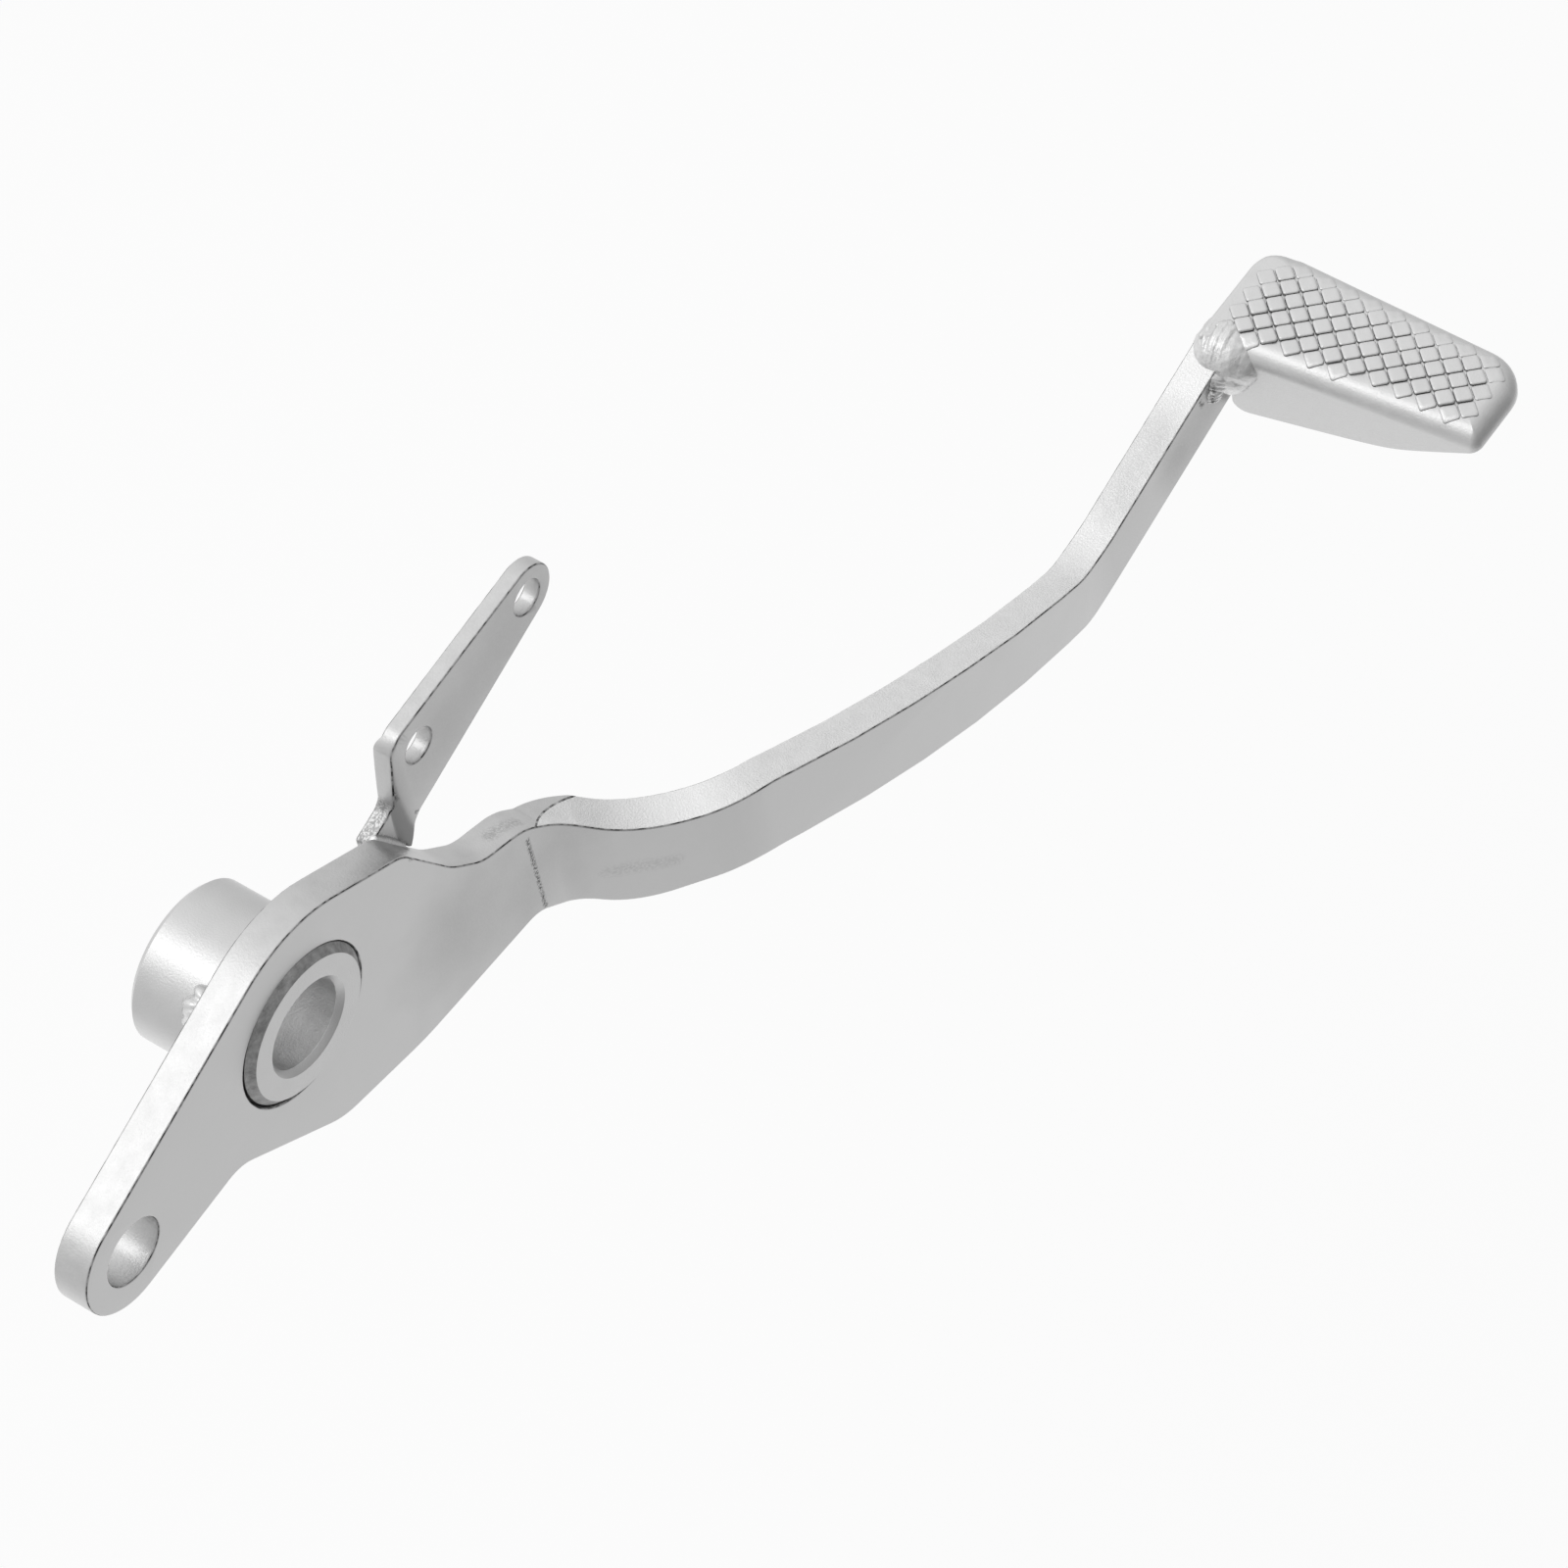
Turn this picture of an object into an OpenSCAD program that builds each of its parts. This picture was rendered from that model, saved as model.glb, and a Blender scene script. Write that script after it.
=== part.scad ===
// Rear brake pedal of a motorcycle: a cut and joggled steel lever with a pivot tube,
// a switch bracket and a pressed tread pad, welded together and zinc plated.
// Sizes are in millimetres. X runs forward to the tread, Y inboard and Z up.
// The origin lies on the pivot axis, in the lever's outboard face.

/* [Lever plate] */
// Thickness of the lever plate
plate_t = 6; // [5:0.1:8]
// Centre of the brake rod hole, x and z
lug_at = [-40.7, -4.1]; // [-60:0.1:0]
// Radius of the lug end
lug_end_r = 10.2; // [8:0.1:14]
// Diameter of the brake rod hole
lug_hole_d = 11; // [6:0.1:14]
// Crown over the pivot: x, z and corner radius
crown = [2.7, 22.9, 22]; // [-60:0.1:60]
// Shoulder that carries the bracket foot: x, z and corner radius
shoulder = [26.3, 9, 8]; // [-60:0.1:60]
// Change of slope below the shoulder: x, z and corner radius
slope_break = [34.4, -5.1, 15]; // [-60:0.1:60]
// Valley between shoulder and hump: x, z and corner radius
valley = [40.2, -11.3, 8]; // [-60:0.1:60]
// Hump before the first fold: x, z and corner radius
hump = [49.7, -15.1, 8]; // [-60:0.1:60]
// Underside of the lug, where it meets the heel: x, z and corner radius
lug_root = [-18.6, -12.9, 7]; // [-60:0.1:60]
// Heel below the pivot: x, z and corner radius
heel = [1.4, -28.7, 14]; // [-60:0.1:60]
// Belly of the plate: x, z and corner radius
belly = [20.2, -33.2, 40]; // [-60:0.1:60]
// Throat where the plate narrows to the arm: x, z and corner radius
throat = [47.8, -35.7, 7]; // [-60:0.1:60]

/* [Arm] */
// Upper edge at the foot of the joggle: x, z and corner radius
dip = [65.3, -32.5, 14]; // [-200:0.1:250]
// Upper edge after the joggle: x, z and corner radius
brow = [79.5, -32.5, 22]; // [-200:0.1:250]
// Upper edge at mid length: x, z and corner radius
mid_top = [125, -57.8, 150]; // [-200:0.1:250]
// Upper edge at the last bend: x, z and corner radius
knee_top = [166.7, -83.2, 15]; // [-200:0.1:250]
// Lower edge at the foot of the joggle: x, z and corner radius
dip_under = [62.4, -49.2, 12]; // [-200:0.1:250]
// Lower edge after the joggle: x, z and corner radius
brow_under = [78, -49.2, 14]; // [-200:0.1:250]
// Lower edge at the last bend: x, z and corner radius
knee_under = [165.9, -94.9, 15]; // [-200:0.1:250]
// Rise of the upper edge after the last bend, in degrees
tip_rise = 16; // [0:0.5:45]
// Rise of the lower edge after the last bend, in degrees
tip_rise_under = 15.8; // [0:0.5:45]

/* [Joggle] */
// Distance from the pivot to the first fold
fold_a_x = 56; // [50:0.5:70]
// Distance from the pivot to the second fold
fold_b_x = 77; // [70:0.5:90]
// Angle of the web between the folds, in degrees
joggle_angle = 38.5; // [10:0.5:60]
// Angle of the arm just after the second fold, in degrees
arm_angle = 6; // [0:0.5:15]
// Middle of the arm's long sweep back towards the bike
sweep_x = 122; // [100:1:150]
// Radius of that sweep
sweep_r = 280; // [150:5:600]
// Angle of the arm just before the last bend, in degrees
sweep_angle = -8; // [-15:0.5:0]
// Inner radius of the first fold, on the outboard face
fold_a_r = 8; // [2:0.5:20]
// Inner radius of the second fold, on the inboard face
fold_b_r = 14; // [2:0.5:60]
// Radius of the last, gentle bend
last_bend_r = 45; // [10:1:80]
// How far that bend lies forward of the upper edge's corner
last_bend_lead = 1.8; // [0:0.1:5]
// Radii of the arm's end inside the pad: upper rear, upper front and lower front
arm_end_r = [6, 3, 2]; // [1:0.5:8]

/* [Pivot tube] */
// Outside diameter of the tube
tube_od = 26; // [22:0.1:32]
// Diameter of the pivot bore
bore_d = 14.6; // [10:0.1:20]
// How far the tube stands out of the outboard face
tube_proud = 1; // [0:0.1:4]
// How far the tube reaches inboard of the outboard face
tube_reach = 21.6; // [12:0.1:40]
// Chamfer round the outer rims
rim_chamfer = 1.2; // [0.2:0.1:2]
// Countersink of the bore's mouths
mouth_chamfer = 0.9; // [0.2:0.1:2]
// Clearance between the tube and its hole in the plate
tube_gap = 0.25; // [0.1:0.05:1]

/* [Bracket] */
// Thickness of the bracket sheet
sheet_t = 2.7; // [2:0.1:4]
// How far the leaf is set outboard of the foot
leaf_offset = 1.9; // [0:0.1:5]
// Middle of the small joggle, measured from the pivot
leaf_fold_x = 32.2; // [28:0.1:40]
// Angle of the small joggle, in degrees
leaf_fold_angle = 40; // [10:1:60]
// Inner radius of both folds of the small joggle
leaf_fold_r = 0.6; // [0.2:0.1:2]
// Centre of the hole at the leaf's tip, x and z
tip_hole = [65.1, 22.2]; // [0:0.1:90]
// Centre of the hole above the foot, x and z
root_hole = [38.2, 18.9]; // [0:0.1:90]
// Diameter of both holes
bracket_hole_d = 5.8; // [3:0.1:8]
// Radius of the leaf's tip
leaf_tip_r = 5.5; // [4:0.1:9]
// Upper rear corner of the leaf: x, z and corner radius
leaf_back = [33.2, 24.8, 3.6]; // [0:0.1:60]
// Lower rear corner of the leaf: x, z and corner radius
leaf_root = [34.2, 5.8, 3]; // [-10:0.1:60]
// Back end of the foot
foot_back_x = 25.6; // [18:0.1:28]
// Front end of the foot, behind the plate
foot_front_x = 30.7; // [28:0.1:33]
// Front edge of the bracket, where it comes down to the plate's upper edge
leaf_low_x = 31.9; // [31:0.1:34]
// Gap between that corner and the plate's edge
leaf_low_gap = 0.6; // [0.3:0.1:2]
// Radii of the foot's lower corners and of its upper back corner
foot_r = [2, 0.8]; // [0.4:0.1:4]
// Lower edge of the foot
foot_low_z = -6; // [-12:0.1:0]
// Upper edge of the foot at its back end
foot_back_z = 7.2; // [2:0.1:9]
// Inner corner between foot and leaf: x, z and corner radius
foot_corner = [31.5, 9, 2.5]; // [-10:0.1:60]

/* [Tread pad] */
// Height of the tread surface under the pivot axis
tread_z = -69.1; // [-120:0.1:0]
// Rear edge of the pad at its inboard end
pad_rear_x = 205.9; // [180:0.1:230]
// Front edge of the pad
pad_front_x = 228.4; // [200:0.1:250]
// How much the rear edge closes in over the pad's length
pad_taper = 5.2; // [0:0.1:8]
// Length of the pad, across the bike
pad_l = 50.2; // [40:0.1:70]
// Setback of the pad's inboard end from the arm's inboard face
pad_setback = 0.8; // [0:0.1:3]
// Depth of the pad at its inboard end
pad_depth = 18.6; // [10:0.1:25]
// Depth of the pad where its lower edge turns up
pad_bend_depth = 9.6; // [4:0.1:20]
// Distance of that turn from the pad's outer end
pad_bend_l = 12.5; // [4:0.1:30]
// Depth of the pad at its outer end
pad_tip_depth = 5.2; // [4:0.1:12]
// Thickness of the pressed shell
shell_t = 2.3; // [1.5:0.1:4]
// Radius of the pad's long upper edges
pad_edge_r = 3.4; // [2:0.1:6]
// Radius of the outer corners seen from above, front and rear
pad_corner_r = [7.5, 4.5]; // [2:0.1:10]
// Radius of the front inboard corner seen from above
pad_inner_r = 6.6; // [2:0.1:8]
// Width of the return that closes the front inboard corner
pad_return = 7; // [4:0.1:10]
// Radius of the rear inboard corner seen from above
pad_heel_r = 0.8; // [0.2:0.1:3]
// Radius of the pad's inboard lip
pad_lip_r = 1; // [0.2:0.1:2]
// Radii of the lower edge, at the outer end and where it turns up
pad_low_r = [1, 30]; // [0.5:0.5:60]
// Radius of the rear wall's corner beside the arm
notch_r = 3; // [1:0.1:6]
// Clearance between the arm's end and the shell
arm_gap = 0.3; // [0.1:0.05:1]

/* [Tread pattern] */
// Distance between two diamonds along the pad
cell_l = 4.45; // [3:0.05:8]
// Distance between two diamonds across the pad
cell_w = 4; // [3:0.05:8]
// Width of the groove between the diamonds
groove_w = 0.55; // [0.2:0.05:1.5]
// Height of the diamonds
cell_h = 0.5; // [0.2:0.05:1]
// Plain margin along the front edge
margin_front = 3.2; // [1:0.1:8]
// Plain margin along the rear edge
margin_rear = 3.9; // [1:0.1:8]
// Plain margin at the inboard end
margin_inboard = 3; // [1:0.1:8]
// Plain margin at the outer end
margin_tip = 4.6; // [1:0.1:10]

/* [Weld beads] */
// Leg length of the bead round the tube
tube_bead = 3.2; // [1:0.1:5]
// How far the tube's bead lies sunk in its corner
bead_sink = 0.4; // [0:0.1:1]
// Radius of the bead along the bracket's foot
foot_bead_r = 1; // [0.5:0.1:3]
// Distance from the shoulder's corner to the start of that bead
foot_bead_start = 1.6; // [0:0.1:3]

/* [Hidden] */
$fn = 64;

steel = "silver";
bead_steel = "darkgray";
far = 400;
arc_step = 7.5;

// Outboard face of the arm, stepped through its folds in plan
fold_b_n = (fold_b_x - fold_a_x) * tan(joggle_angle);
sweep_n = fold_b_n + (sweep_x - fold_b_x) * tan(arm_angle);
last_bend_x = knee_top[0] + last_bend_lead;
arm_n = sweep_n + (last_bend_x - sweep_x) * tan(sweep_angle);
arm_out_y = -arm_n;
arm_in_y = plate_t - arm_n;

// Room for the arm's sweep between the two bends beside it
sweep_half = (arm_angle - sweep_angle) / 2;
fold_b_reach = (fold_b_r + plate_t) * tan((joggle_angle - arm_angle) / 2);
last_bend_reach = last_bend_r * tan(-sweep_angle / 2);
sweep_room = min((sweep_x - fold_b_x) / cos(arm_angle) - fold_b_reach,
                 (last_bend_x - sweep_x) / cos(sweep_angle) - last_bend_reach);
sweep_fit_r = min(sweep_r, 0.98 * sweep_room / tan(sweep_half));

// Pad and arm end, seated on each other
pad_in_y = arm_in_y - pad_setback;
pad_tip_y = pad_in_y - pad_l;
tread_under = tread_z - shell_t;
arm_end_z = tread_under - arm_gap;
arm_end_x = pad_front_x - pad_return - arm_gap;
arm_meet_x = knee_top[0] + (arm_end_z - knee_top[1]) / tan(tip_rise);
arm_end_low = knee_under[1] + (arm_end_x - knee_under[0]) * tan(tip_rise_under);
taper_angle = atan(pad_taper / pad_l);

function unit(v) = v / norm(v);
function cross2(a, b) = a[0] * b[1] - a[1] * b[0];

// Direction from the centre c of a round end to where a line through p touches it
function touch_dir(c, r, p, side) =
    atan2(p[1] - c[1], p[0] - c[0]) + side * acos(r / norm([p[0], p[1]] - c));

// Two corners that wrap a round end of radius r about c, from direction a to direction b
function round_end(c, r, a, b) =
    [for (k = [1, 3])
        let (dir = a + (b - a) * k / 4, out = r / cos((b - a) / 4))
        [c[0] + out * cos(dir), c[1] + out * sin(dir), r]];

// Points of one corner q between its neighbours p and s, rounded by radius r
function corner(p, q, s, r) =
    r == 0 || abs(cross2(unit(q - p), unit(s - q))) < 0.0001 ? [q] :
    let (u = unit(p - q), v = unit(s - q), half = acos(u * v) / 2)
    let (c = q + unit(u + v) * r / sin(half), start = q + u * r / tan(half) - c)
    let (a0 = atan2(start[1], start[0]), sweep = (180 - 2 * half) * sign(cross2(v, u)))
    let (n = max(3, ceil(abs(sweep) / arc_step)))
    [for (i = [0:n]) c + r * [cos(a0 + sweep * i / n), sin(a0 + sweep * i / n)]];

// Outline through the corners of a list of x, y and radius
function rounded(list, closed = true) =
    let (n = len(list), last = n - 1)
    [for (i = [0:last])
        let (p = list[(i + last) % n], q = list[i], s = list[(i + 1) % n])
        let (open_end = !closed && (i == 0 || i == last))
        each corner([p[0], p[1]], [q[0], q[1]], [s[0], s[1]], open_end ? 0 : q[2])];

// Corners of a path moved sideways by d, to its left, with their radii kept concentric
function shifted(path, d) =
    [for (i = [0:len(path) - 1])
        let (q = [path[i][0], path[i][1]], before = max(i - 1, 0), after = min(i + 1, len(path) - 1))
        let (a = i == 0 ? path[1] - path[0] : path[i] - path[before])
        let (b = i == len(path) - 1 ? a : path[after] - path[i])
        let (u = unit([a[0], a[1]]), v = unit([b[0], b[1]]))
        let (nu = [-u[1], u[0]], nv = [-v[1], v[0]], m = (nu + nv) / (1 + nu * nv))
        let (turn = sign(cross2(u, v)))
        [q[0] + m[0] * d, q[1] + m[1] * d, path[i][2] == 0 ? 0 : path[i][2] - d * turn]];

// Strip of constant thickness along a path in plan, stood up as a tall wall
module wall_band(path, thickness) {
    near = rounded(path, closed = false);
    other = rounded(shifted(path, thickness), closed = false);
    back = [for (i = [len(other) - 1:-1:0]) other[i]];
    translate([0, 0, -far / 2])
        linear_extrude(height = far)
            polygon(concat(near, back));
}

// Side view in x and z, cut from a slab from y0 to y1
module side_slab(y0, y1) {
    translate([0, y1, 0])
        rotate([90, 0, 0])
            linear_extrude(height = y1 - y0)
                children();
}

// Round bar or hole along y from y0 to y1, centred on a place in x and z
module y_round(at, d, y0, y1) {
    translate([at[0], y0, at[1]])
        rotate([-90, 0, 0])
            cylinder(h = y1 - y0, d = d);
}

// Side outline of lever and arm
module lever_outline() {
    lug_top_dir = touch_dir(lug_at, lug_end_r, crown, 1);
    lug_low_dir = touch_dir(lug_at, lug_end_r, lug_root, -1) + 360;
    polygon(rounded(concat([
        crown, shoulder, slope_break, valley, hump,
        dip, brow, mid_top, knee_top,
        [arm_meet_x, arm_end_z, arm_end_r[0]],
        [arm_end_x, arm_end_z, arm_end_r[1]],
        [arm_end_x, arm_end_low, arm_end_r[2]],
        knee_under, brow_under, dip_under, throat, belly, heel, lug_root
    ], round_end(lug_at, lug_end_r, lug_low_dir, lug_top_dir))));
}

// Plan of the outboard face, from behind the lug to past the arm's end
arm_path = [
    [-far / 4, 0, 0],
    [fold_a_x, 0, fold_a_r],
    [fold_b_x, -fold_b_n, fold_b_r + plate_t],
    [sweep_x, -sweep_n, sweep_fit_r],
    [last_bend_x, -arm_n, last_bend_r],
    [far, -arm_n, 0]
];

module lever_body() {
    intersection() {
        side_slab(-far / 4, far / 4)
            lever_outline();
        wall_band(arm_path, plate_t);
    }
}

module lever_plate() {
    color(steel)
        difference() {
            lever_body();
            y_round([0, 0], tube_od + 2 * tube_gap, -1, plate_t + 1);
            y_round(lug_at, lug_hole_d, -1, plate_t + 1);
        }
}

module pivot_tube() {
    outer = tube_od / 2;
    inner = bore_d / 2;
    low = -tube_proud;
    high = tube_reach;
    color(steel)
        rotate([-90, 0, 0])
            rotate_extrude()
                polygon([
                    [inner, low + mouth_chamfer], [inner + mouth_chamfer, low],
                    [outer - rim_chamfer, low], [outer, low + rim_chamfer],
                    [outer, high - mouth_chamfer], [outer - mouth_chamfer, high],
                    [inner + mouth_chamfer, high], [inner, high - mouth_chamfer]
                ]);
}

// Height of the plate's upper edge under the bracket
function plate_edge_z(x) =
    shoulder[1] + (x - shoulder[0]) * (slope_break[1] - shoulder[1]) / (slope_break[0] - shoulder[0]);

// Side outline of the bracket, foot and leaf in one
module bracket_outline() {
    tip_top_dir = touch_dir(tip_hole, leaf_tip_r, leaf_back, -1);
    tip_low_dir = touch_dir(tip_hole, leaf_tip_r, leaf_root, 1);
    polygon(rounded(concat([
        [foot_back_x, foot_low_z, foot_r[0]],
        [foot_back_x, foot_back_z, foot_r[1]],
        foot_corner, leaf_back
    ], round_end(tip_hole, leaf_tip_r, tip_top_dir, tip_low_dir), [
        leaf_root,
        [leaf_low_x, plate_edge_z(leaf_low_x) + leaf_low_gap, leaf_fold_r],
        [foot_front_x, plate_edge_z(foot_front_x) + leaf_low_gap, 0],
        [foot_front_x, foot_low_z, foot_r[0]]
    ])));
}

bracket_run = leaf_offset / tan(leaf_fold_angle);
bracket_path = [
    [-far / 4, plate_t, 0],
    [leaf_fold_x - bracket_run / 2, plate_t, leaf_fold_r],
    [leaf_fold_x + bracket_run / 2, plate_t - leaf_offset, leaf_fold_r + sheet_t],
    [far, plate_t - leaf_offset, 0]
];

module bracket_body() {
    intersection() {
        side_slab(-far / 4, far / 4)
            bracket_outline();
        wall_band(bracket_path, sheet_t);
    }
}

module switch_bracket() {
    color(steel)
        difference() {
            bracket_body();
            y_round(tip_hole, bracket_hole_d, 0, 2 * plate_t);
            y_round(root_hole, bracket_hole_d, 0, 2 * plate_t);
        }
}

// Plan of the pad; the hollow of the shell runs out through the inboard end
module pad_plan(inset, hollow) {
    rear = pad_rear_x + inset;
    front = pad_front_x - inset;
    tip = pad_tip_y + inset;
    outer = [
        [front, tip, pad_corner_r[0] - inset],
        [rear + pad_taper, tip, pad_corner_r[1] - inset]
    ];
    polygon(rounded(concat(hollow ? [
        [rear, pad_in_y + pad_return, 0],
        [pad_front_x - pad_return, pad_in_y + pad_return, 0],
        [pad_front_x - pad_return, pad_in_y - inset, 0],
        [front, pad_in_y - inset, pad_inner_r - inset]
    ] : [
        [rear, pad_in_y, pad_heel_r], [front, pad_in_y, pad_inner_r]
    ], outer)));
}

// Side view of the pad's lower edge, in y and z, from the inboard end to the tip
pad_bend_y = pad_tip_y + pad_bend_l;
pad_low = [
    [pad_tip_y, tread_z - pad_tip_depth, pad_low_r[0]],
    [pad_bend_y, tread_z - pad_bend_depth, pad_low_r[1]],
    [pad_in_y, tread_z - pad_depth, 0]
];

// The pad as a solid, drawn in by the same amount on every closed side
module pad_solid(inset, hollow = false) {
    edge_r = pad_edge_r - inset;
    top = tread_z - inset;
    drop = [0, hollow ? -far : 0, 0];
    reach = hollow ? 2 * pad_return : 0;
    length = pad_front_x - pad_rear_x;
    floor_z = tread_z - far / 4;
    intersection() {
        translate([0, 0, floor_z])
            linear_extrude(height = top - floor_z)
                pad_plan(inset, hollow);
        translate([pad_rear_x - length, 0, 0])
            rotate([90, 0, 90])
                linear_extrude(height = 3 * length)
                    polygon(rounded([
                        [pad_in_y + reach, top, hollow ? 0 : pad_lip_r],
                        [pad_tip_y + inset, top, edge_r],
                        pad_low[0] + drop, pad_low[1] + drop,
                        pad_low[2] + drop + [reach, 0, 0]
                    ]));
        translate([0, pad_in_y + reach, 0])
            rotate([90, 0, 0])
                linear_extrude(height = pad_l + reach)
                    polygon(rounded([
                        [pad_rear_x - length, floor_z, 0], [pad_rear_x - length, top, 0],
                        [pad_front_x - inset, top, edge_r], [pad_front_x - inset, floor_z, 0]
                    ]));
        translate([pad_rear_x + inset, pad_in_y, 0])
            rotate([0, 0, taper_angle])
                translate([0, reach + length, 0])
                    rotate([90, 0, 0])
                        linear_extrude(height = pad_l + reach + 2 * length)
                            polygon(rounded([
                                [0, floor_z, 0], [0, top, edge_r],
                                [2 * length, top, 0], [2 * length, floor_z, 0]
                            ]));
    }
}

// Notch in the rear wall that lets the arm in, seen in y and z
module arm_notch() {
    wall_y = arm_out_y - arm_gap;
    wall_low = tread_z - pad_depth + (pad_in_y - wall_y) * (pad_depth - pad_bend_depth) / (pad_l - pad_bend_l);
    translate([pad_rear_x - pad_return, 0, 0])
        rotate([90, 0, 90])
            linear_extrude(height = 2 * pad_return)
                difference() {
                    translate([wall_y - notch_r, tread_under - far / 8])
                        square([far / 8, far / 8]);
                    translate([wall_y - notch_r, wall_low + notch_r])
                        circle(r = notch_r);
                    translate([wall_y - 2 * notch_r, wall_low + notch_r])
                        square([2 * notch_r, far / 8]);
                }
}

// Field of raised diamonds, kept off the rounded edges
module tread_cells() {
    half_l = (cell_l - groove_w * sqrt(2)) / 2;
    half_w = (cell_w - groove_w * sqrt(2)) / 2;
    x0 = pad_rear_x + margin_rear;
    x1 = pad_front_x - margin_front;
    y0 = pad_tip_y + margin_tip;
    y1 = pad_in_y - margin_inboard;
    columns = ceil((x1 - x0) / cell_w);
    rows = ceil((y1 - y0) / cell_l);
    translate([0, 0, tread_z - shell_t / 4])
        linear_extrude(height = cell_h + shell_t / 4)
            intersection() {
                for (i = [0:2 * columns], j = [0:rows])
                    translate([x1 - i * cell_w / 2, y1 - (j + (i % 2) / 2) * cell_l])
                        polygon([[half_w, 0], [0, half_l], [-half_w, 0], [0, -half_l]]);
                polygon([
                    [x0, y1], [x1, y1], [x1, y0],
                    [x0 + pad_taper * (y1 - y0) / pad_l, y0]
                ]);
            }
}

module foot_pad() {
    color(steel) {
        difference() {
            pad_solid(0);
            pad_solid(shell_t, hollow = true);
            arm_notch();
        }
        tread_cells();
    }
}

module tube_weld() {
    outer = tube_od / 2;
    color(bead_steel)
        translate([0, plate_t, 0])
            rotate([-90, 0, 0])
                rotate_extrude()
                    intersection() {
                        translate([outer, 0])
                            square(tube_bead);
                        translate([outer - bead_sink, -bead_sink])
                            circle(r = tube_bead);
                    }
}

// Bead along the plate's upper edge, in the corner in front of the bracket's foot
module bracket_weld() {
    sunk = foot_bead_r / 5;
    start_x = shoulder[0] + foot_bead_start;
    end_x = foot_front_x - foot_bead_r / 2;
    from = [start_x, plate_edge_z(start_x) - sunk];
    to = [end_x, plate_edge_z(end_x) - sunk];
    run = to - from;
    color(bead_steel)
        difference() {
            translate([from[0], plate_t + sunk, from[1]])
                rotate([0, atan2(run[0], run[1]), 0]) {
                    cylinder(h = norm(run), r = foot_bead_r);
                    sphere(r = foot_bead_r);
                    translate([0, 0, norm(run)])
                        sphere(r = foot_bead_r);
                }
            side_slab(-far / 8, plate_t)
                lever_outline();
            bracket_body();
        }
}

// Route of the pad's weld: forward of the arm's meeting point, outboard of its
// inboard face, above the tread's underside, and the ripple's radius
pad_bead = [
    [-3.4, 4.4, -3.4, 3.6],
    [-0.6, 5.4, -3.2, 4.9],
    [1.4, 8.3, -3.6, 4.6],
    [-1.4, 5.2, -6.2, 3.6],
    [0.8, 5.9, -8.4, 2.9]
];

module pad_weld() {
    color(bead_steel)
        difference() {
            for (ripple = pad_bead)
                translate([arm_meet_x + ripple[0], arm_in_y - ripple[1], tread_under + ripple[2]])
                    sphere(r = ripple[3]);
            side_slab(arm_out_y, arm_in_y)
                lever_outline();
            pad_solid(0);
        }
}

lever_plate();
pivot_tube();
switch_bracket();
foot_pad();
tube_weld();
bracket_weld();
pad_weld();
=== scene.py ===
"""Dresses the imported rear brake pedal.

The lever and the switch bracket are cut flat, rounded along their sheared edges and folded. The
pivot tube is turned, the tread pad is pressed, and rippled beads join the four. Everything is
bright zinc plated steel, under a plain studio light. Sizes are in millimetres until a mesh is
finished, and its object is then in metres, in the frame's own axes.
"""

import logging
import math
from dataclasses import dataclass, field
from enum import Enum, IntEnum
from typing import Callable, NamedTuple, Sequence

import bmesh
import bpy
from mathutils import Matrix, Vector, noise


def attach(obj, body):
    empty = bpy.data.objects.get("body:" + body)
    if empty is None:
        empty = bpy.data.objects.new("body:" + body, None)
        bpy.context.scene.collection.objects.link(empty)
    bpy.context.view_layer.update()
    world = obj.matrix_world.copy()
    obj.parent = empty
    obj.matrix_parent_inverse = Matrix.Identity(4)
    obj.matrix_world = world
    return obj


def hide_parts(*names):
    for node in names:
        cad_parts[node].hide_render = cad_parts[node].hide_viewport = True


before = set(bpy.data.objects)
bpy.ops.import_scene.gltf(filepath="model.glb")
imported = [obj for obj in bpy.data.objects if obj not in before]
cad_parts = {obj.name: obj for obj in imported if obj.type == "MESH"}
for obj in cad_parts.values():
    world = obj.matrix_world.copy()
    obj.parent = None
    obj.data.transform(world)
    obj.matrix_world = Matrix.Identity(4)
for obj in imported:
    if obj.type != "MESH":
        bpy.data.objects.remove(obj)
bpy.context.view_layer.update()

log = logging.getLogger("pedal")
MM = 0.001
BODY = "root"
# Two points of an outline that lie closer than this, in millimetres, are one.
SAME_SPOT = 0.01
# The largest turns between two points of an outline's arc and two lines of a fold, in degrees.
ARC_STEP = 5.0
FOLD_STEP = 3.5
# How many sides a round hole and a corner of the pad have.
HOLE_SIDES = 72
CORNER_SIDES = 12
# The seed of the weld drops' unevenness, so that each run lays them in the same way.
DROP_SEED = 3
# Places well behind and well in front of the whole pedal.
BEHIND = -100.0
AHEAD = 400.0


class Corner(NamedTuple):
    """One corner of an outline or a path, with the radius that rounds it."""

    x: float
    z: float
    r: float


class Hole(NamedTuple):
    """A round hole, by its centre and diameter."""

    x: float
    z: float
    d: float


class Turn(Enum):
    """Which way a path turns, seen from above."""

    INBOARD = 1
    OUTBOARD = -1


class Cut(Enum):
    """How a sheet's cut edges stand where it is folded."""

    WITH_THE_FOLD = "square to the sheet, which was cut flat"
    ACROSS = "square to the side view, which was trimmed after folding"


class Skin(IntEnum):
    """The finishes of a cut sheet, by their place in its list of materials."""

    ROLLED = 0
    SHEARED = 1
    RIM = 2
    TORN = 3


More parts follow.
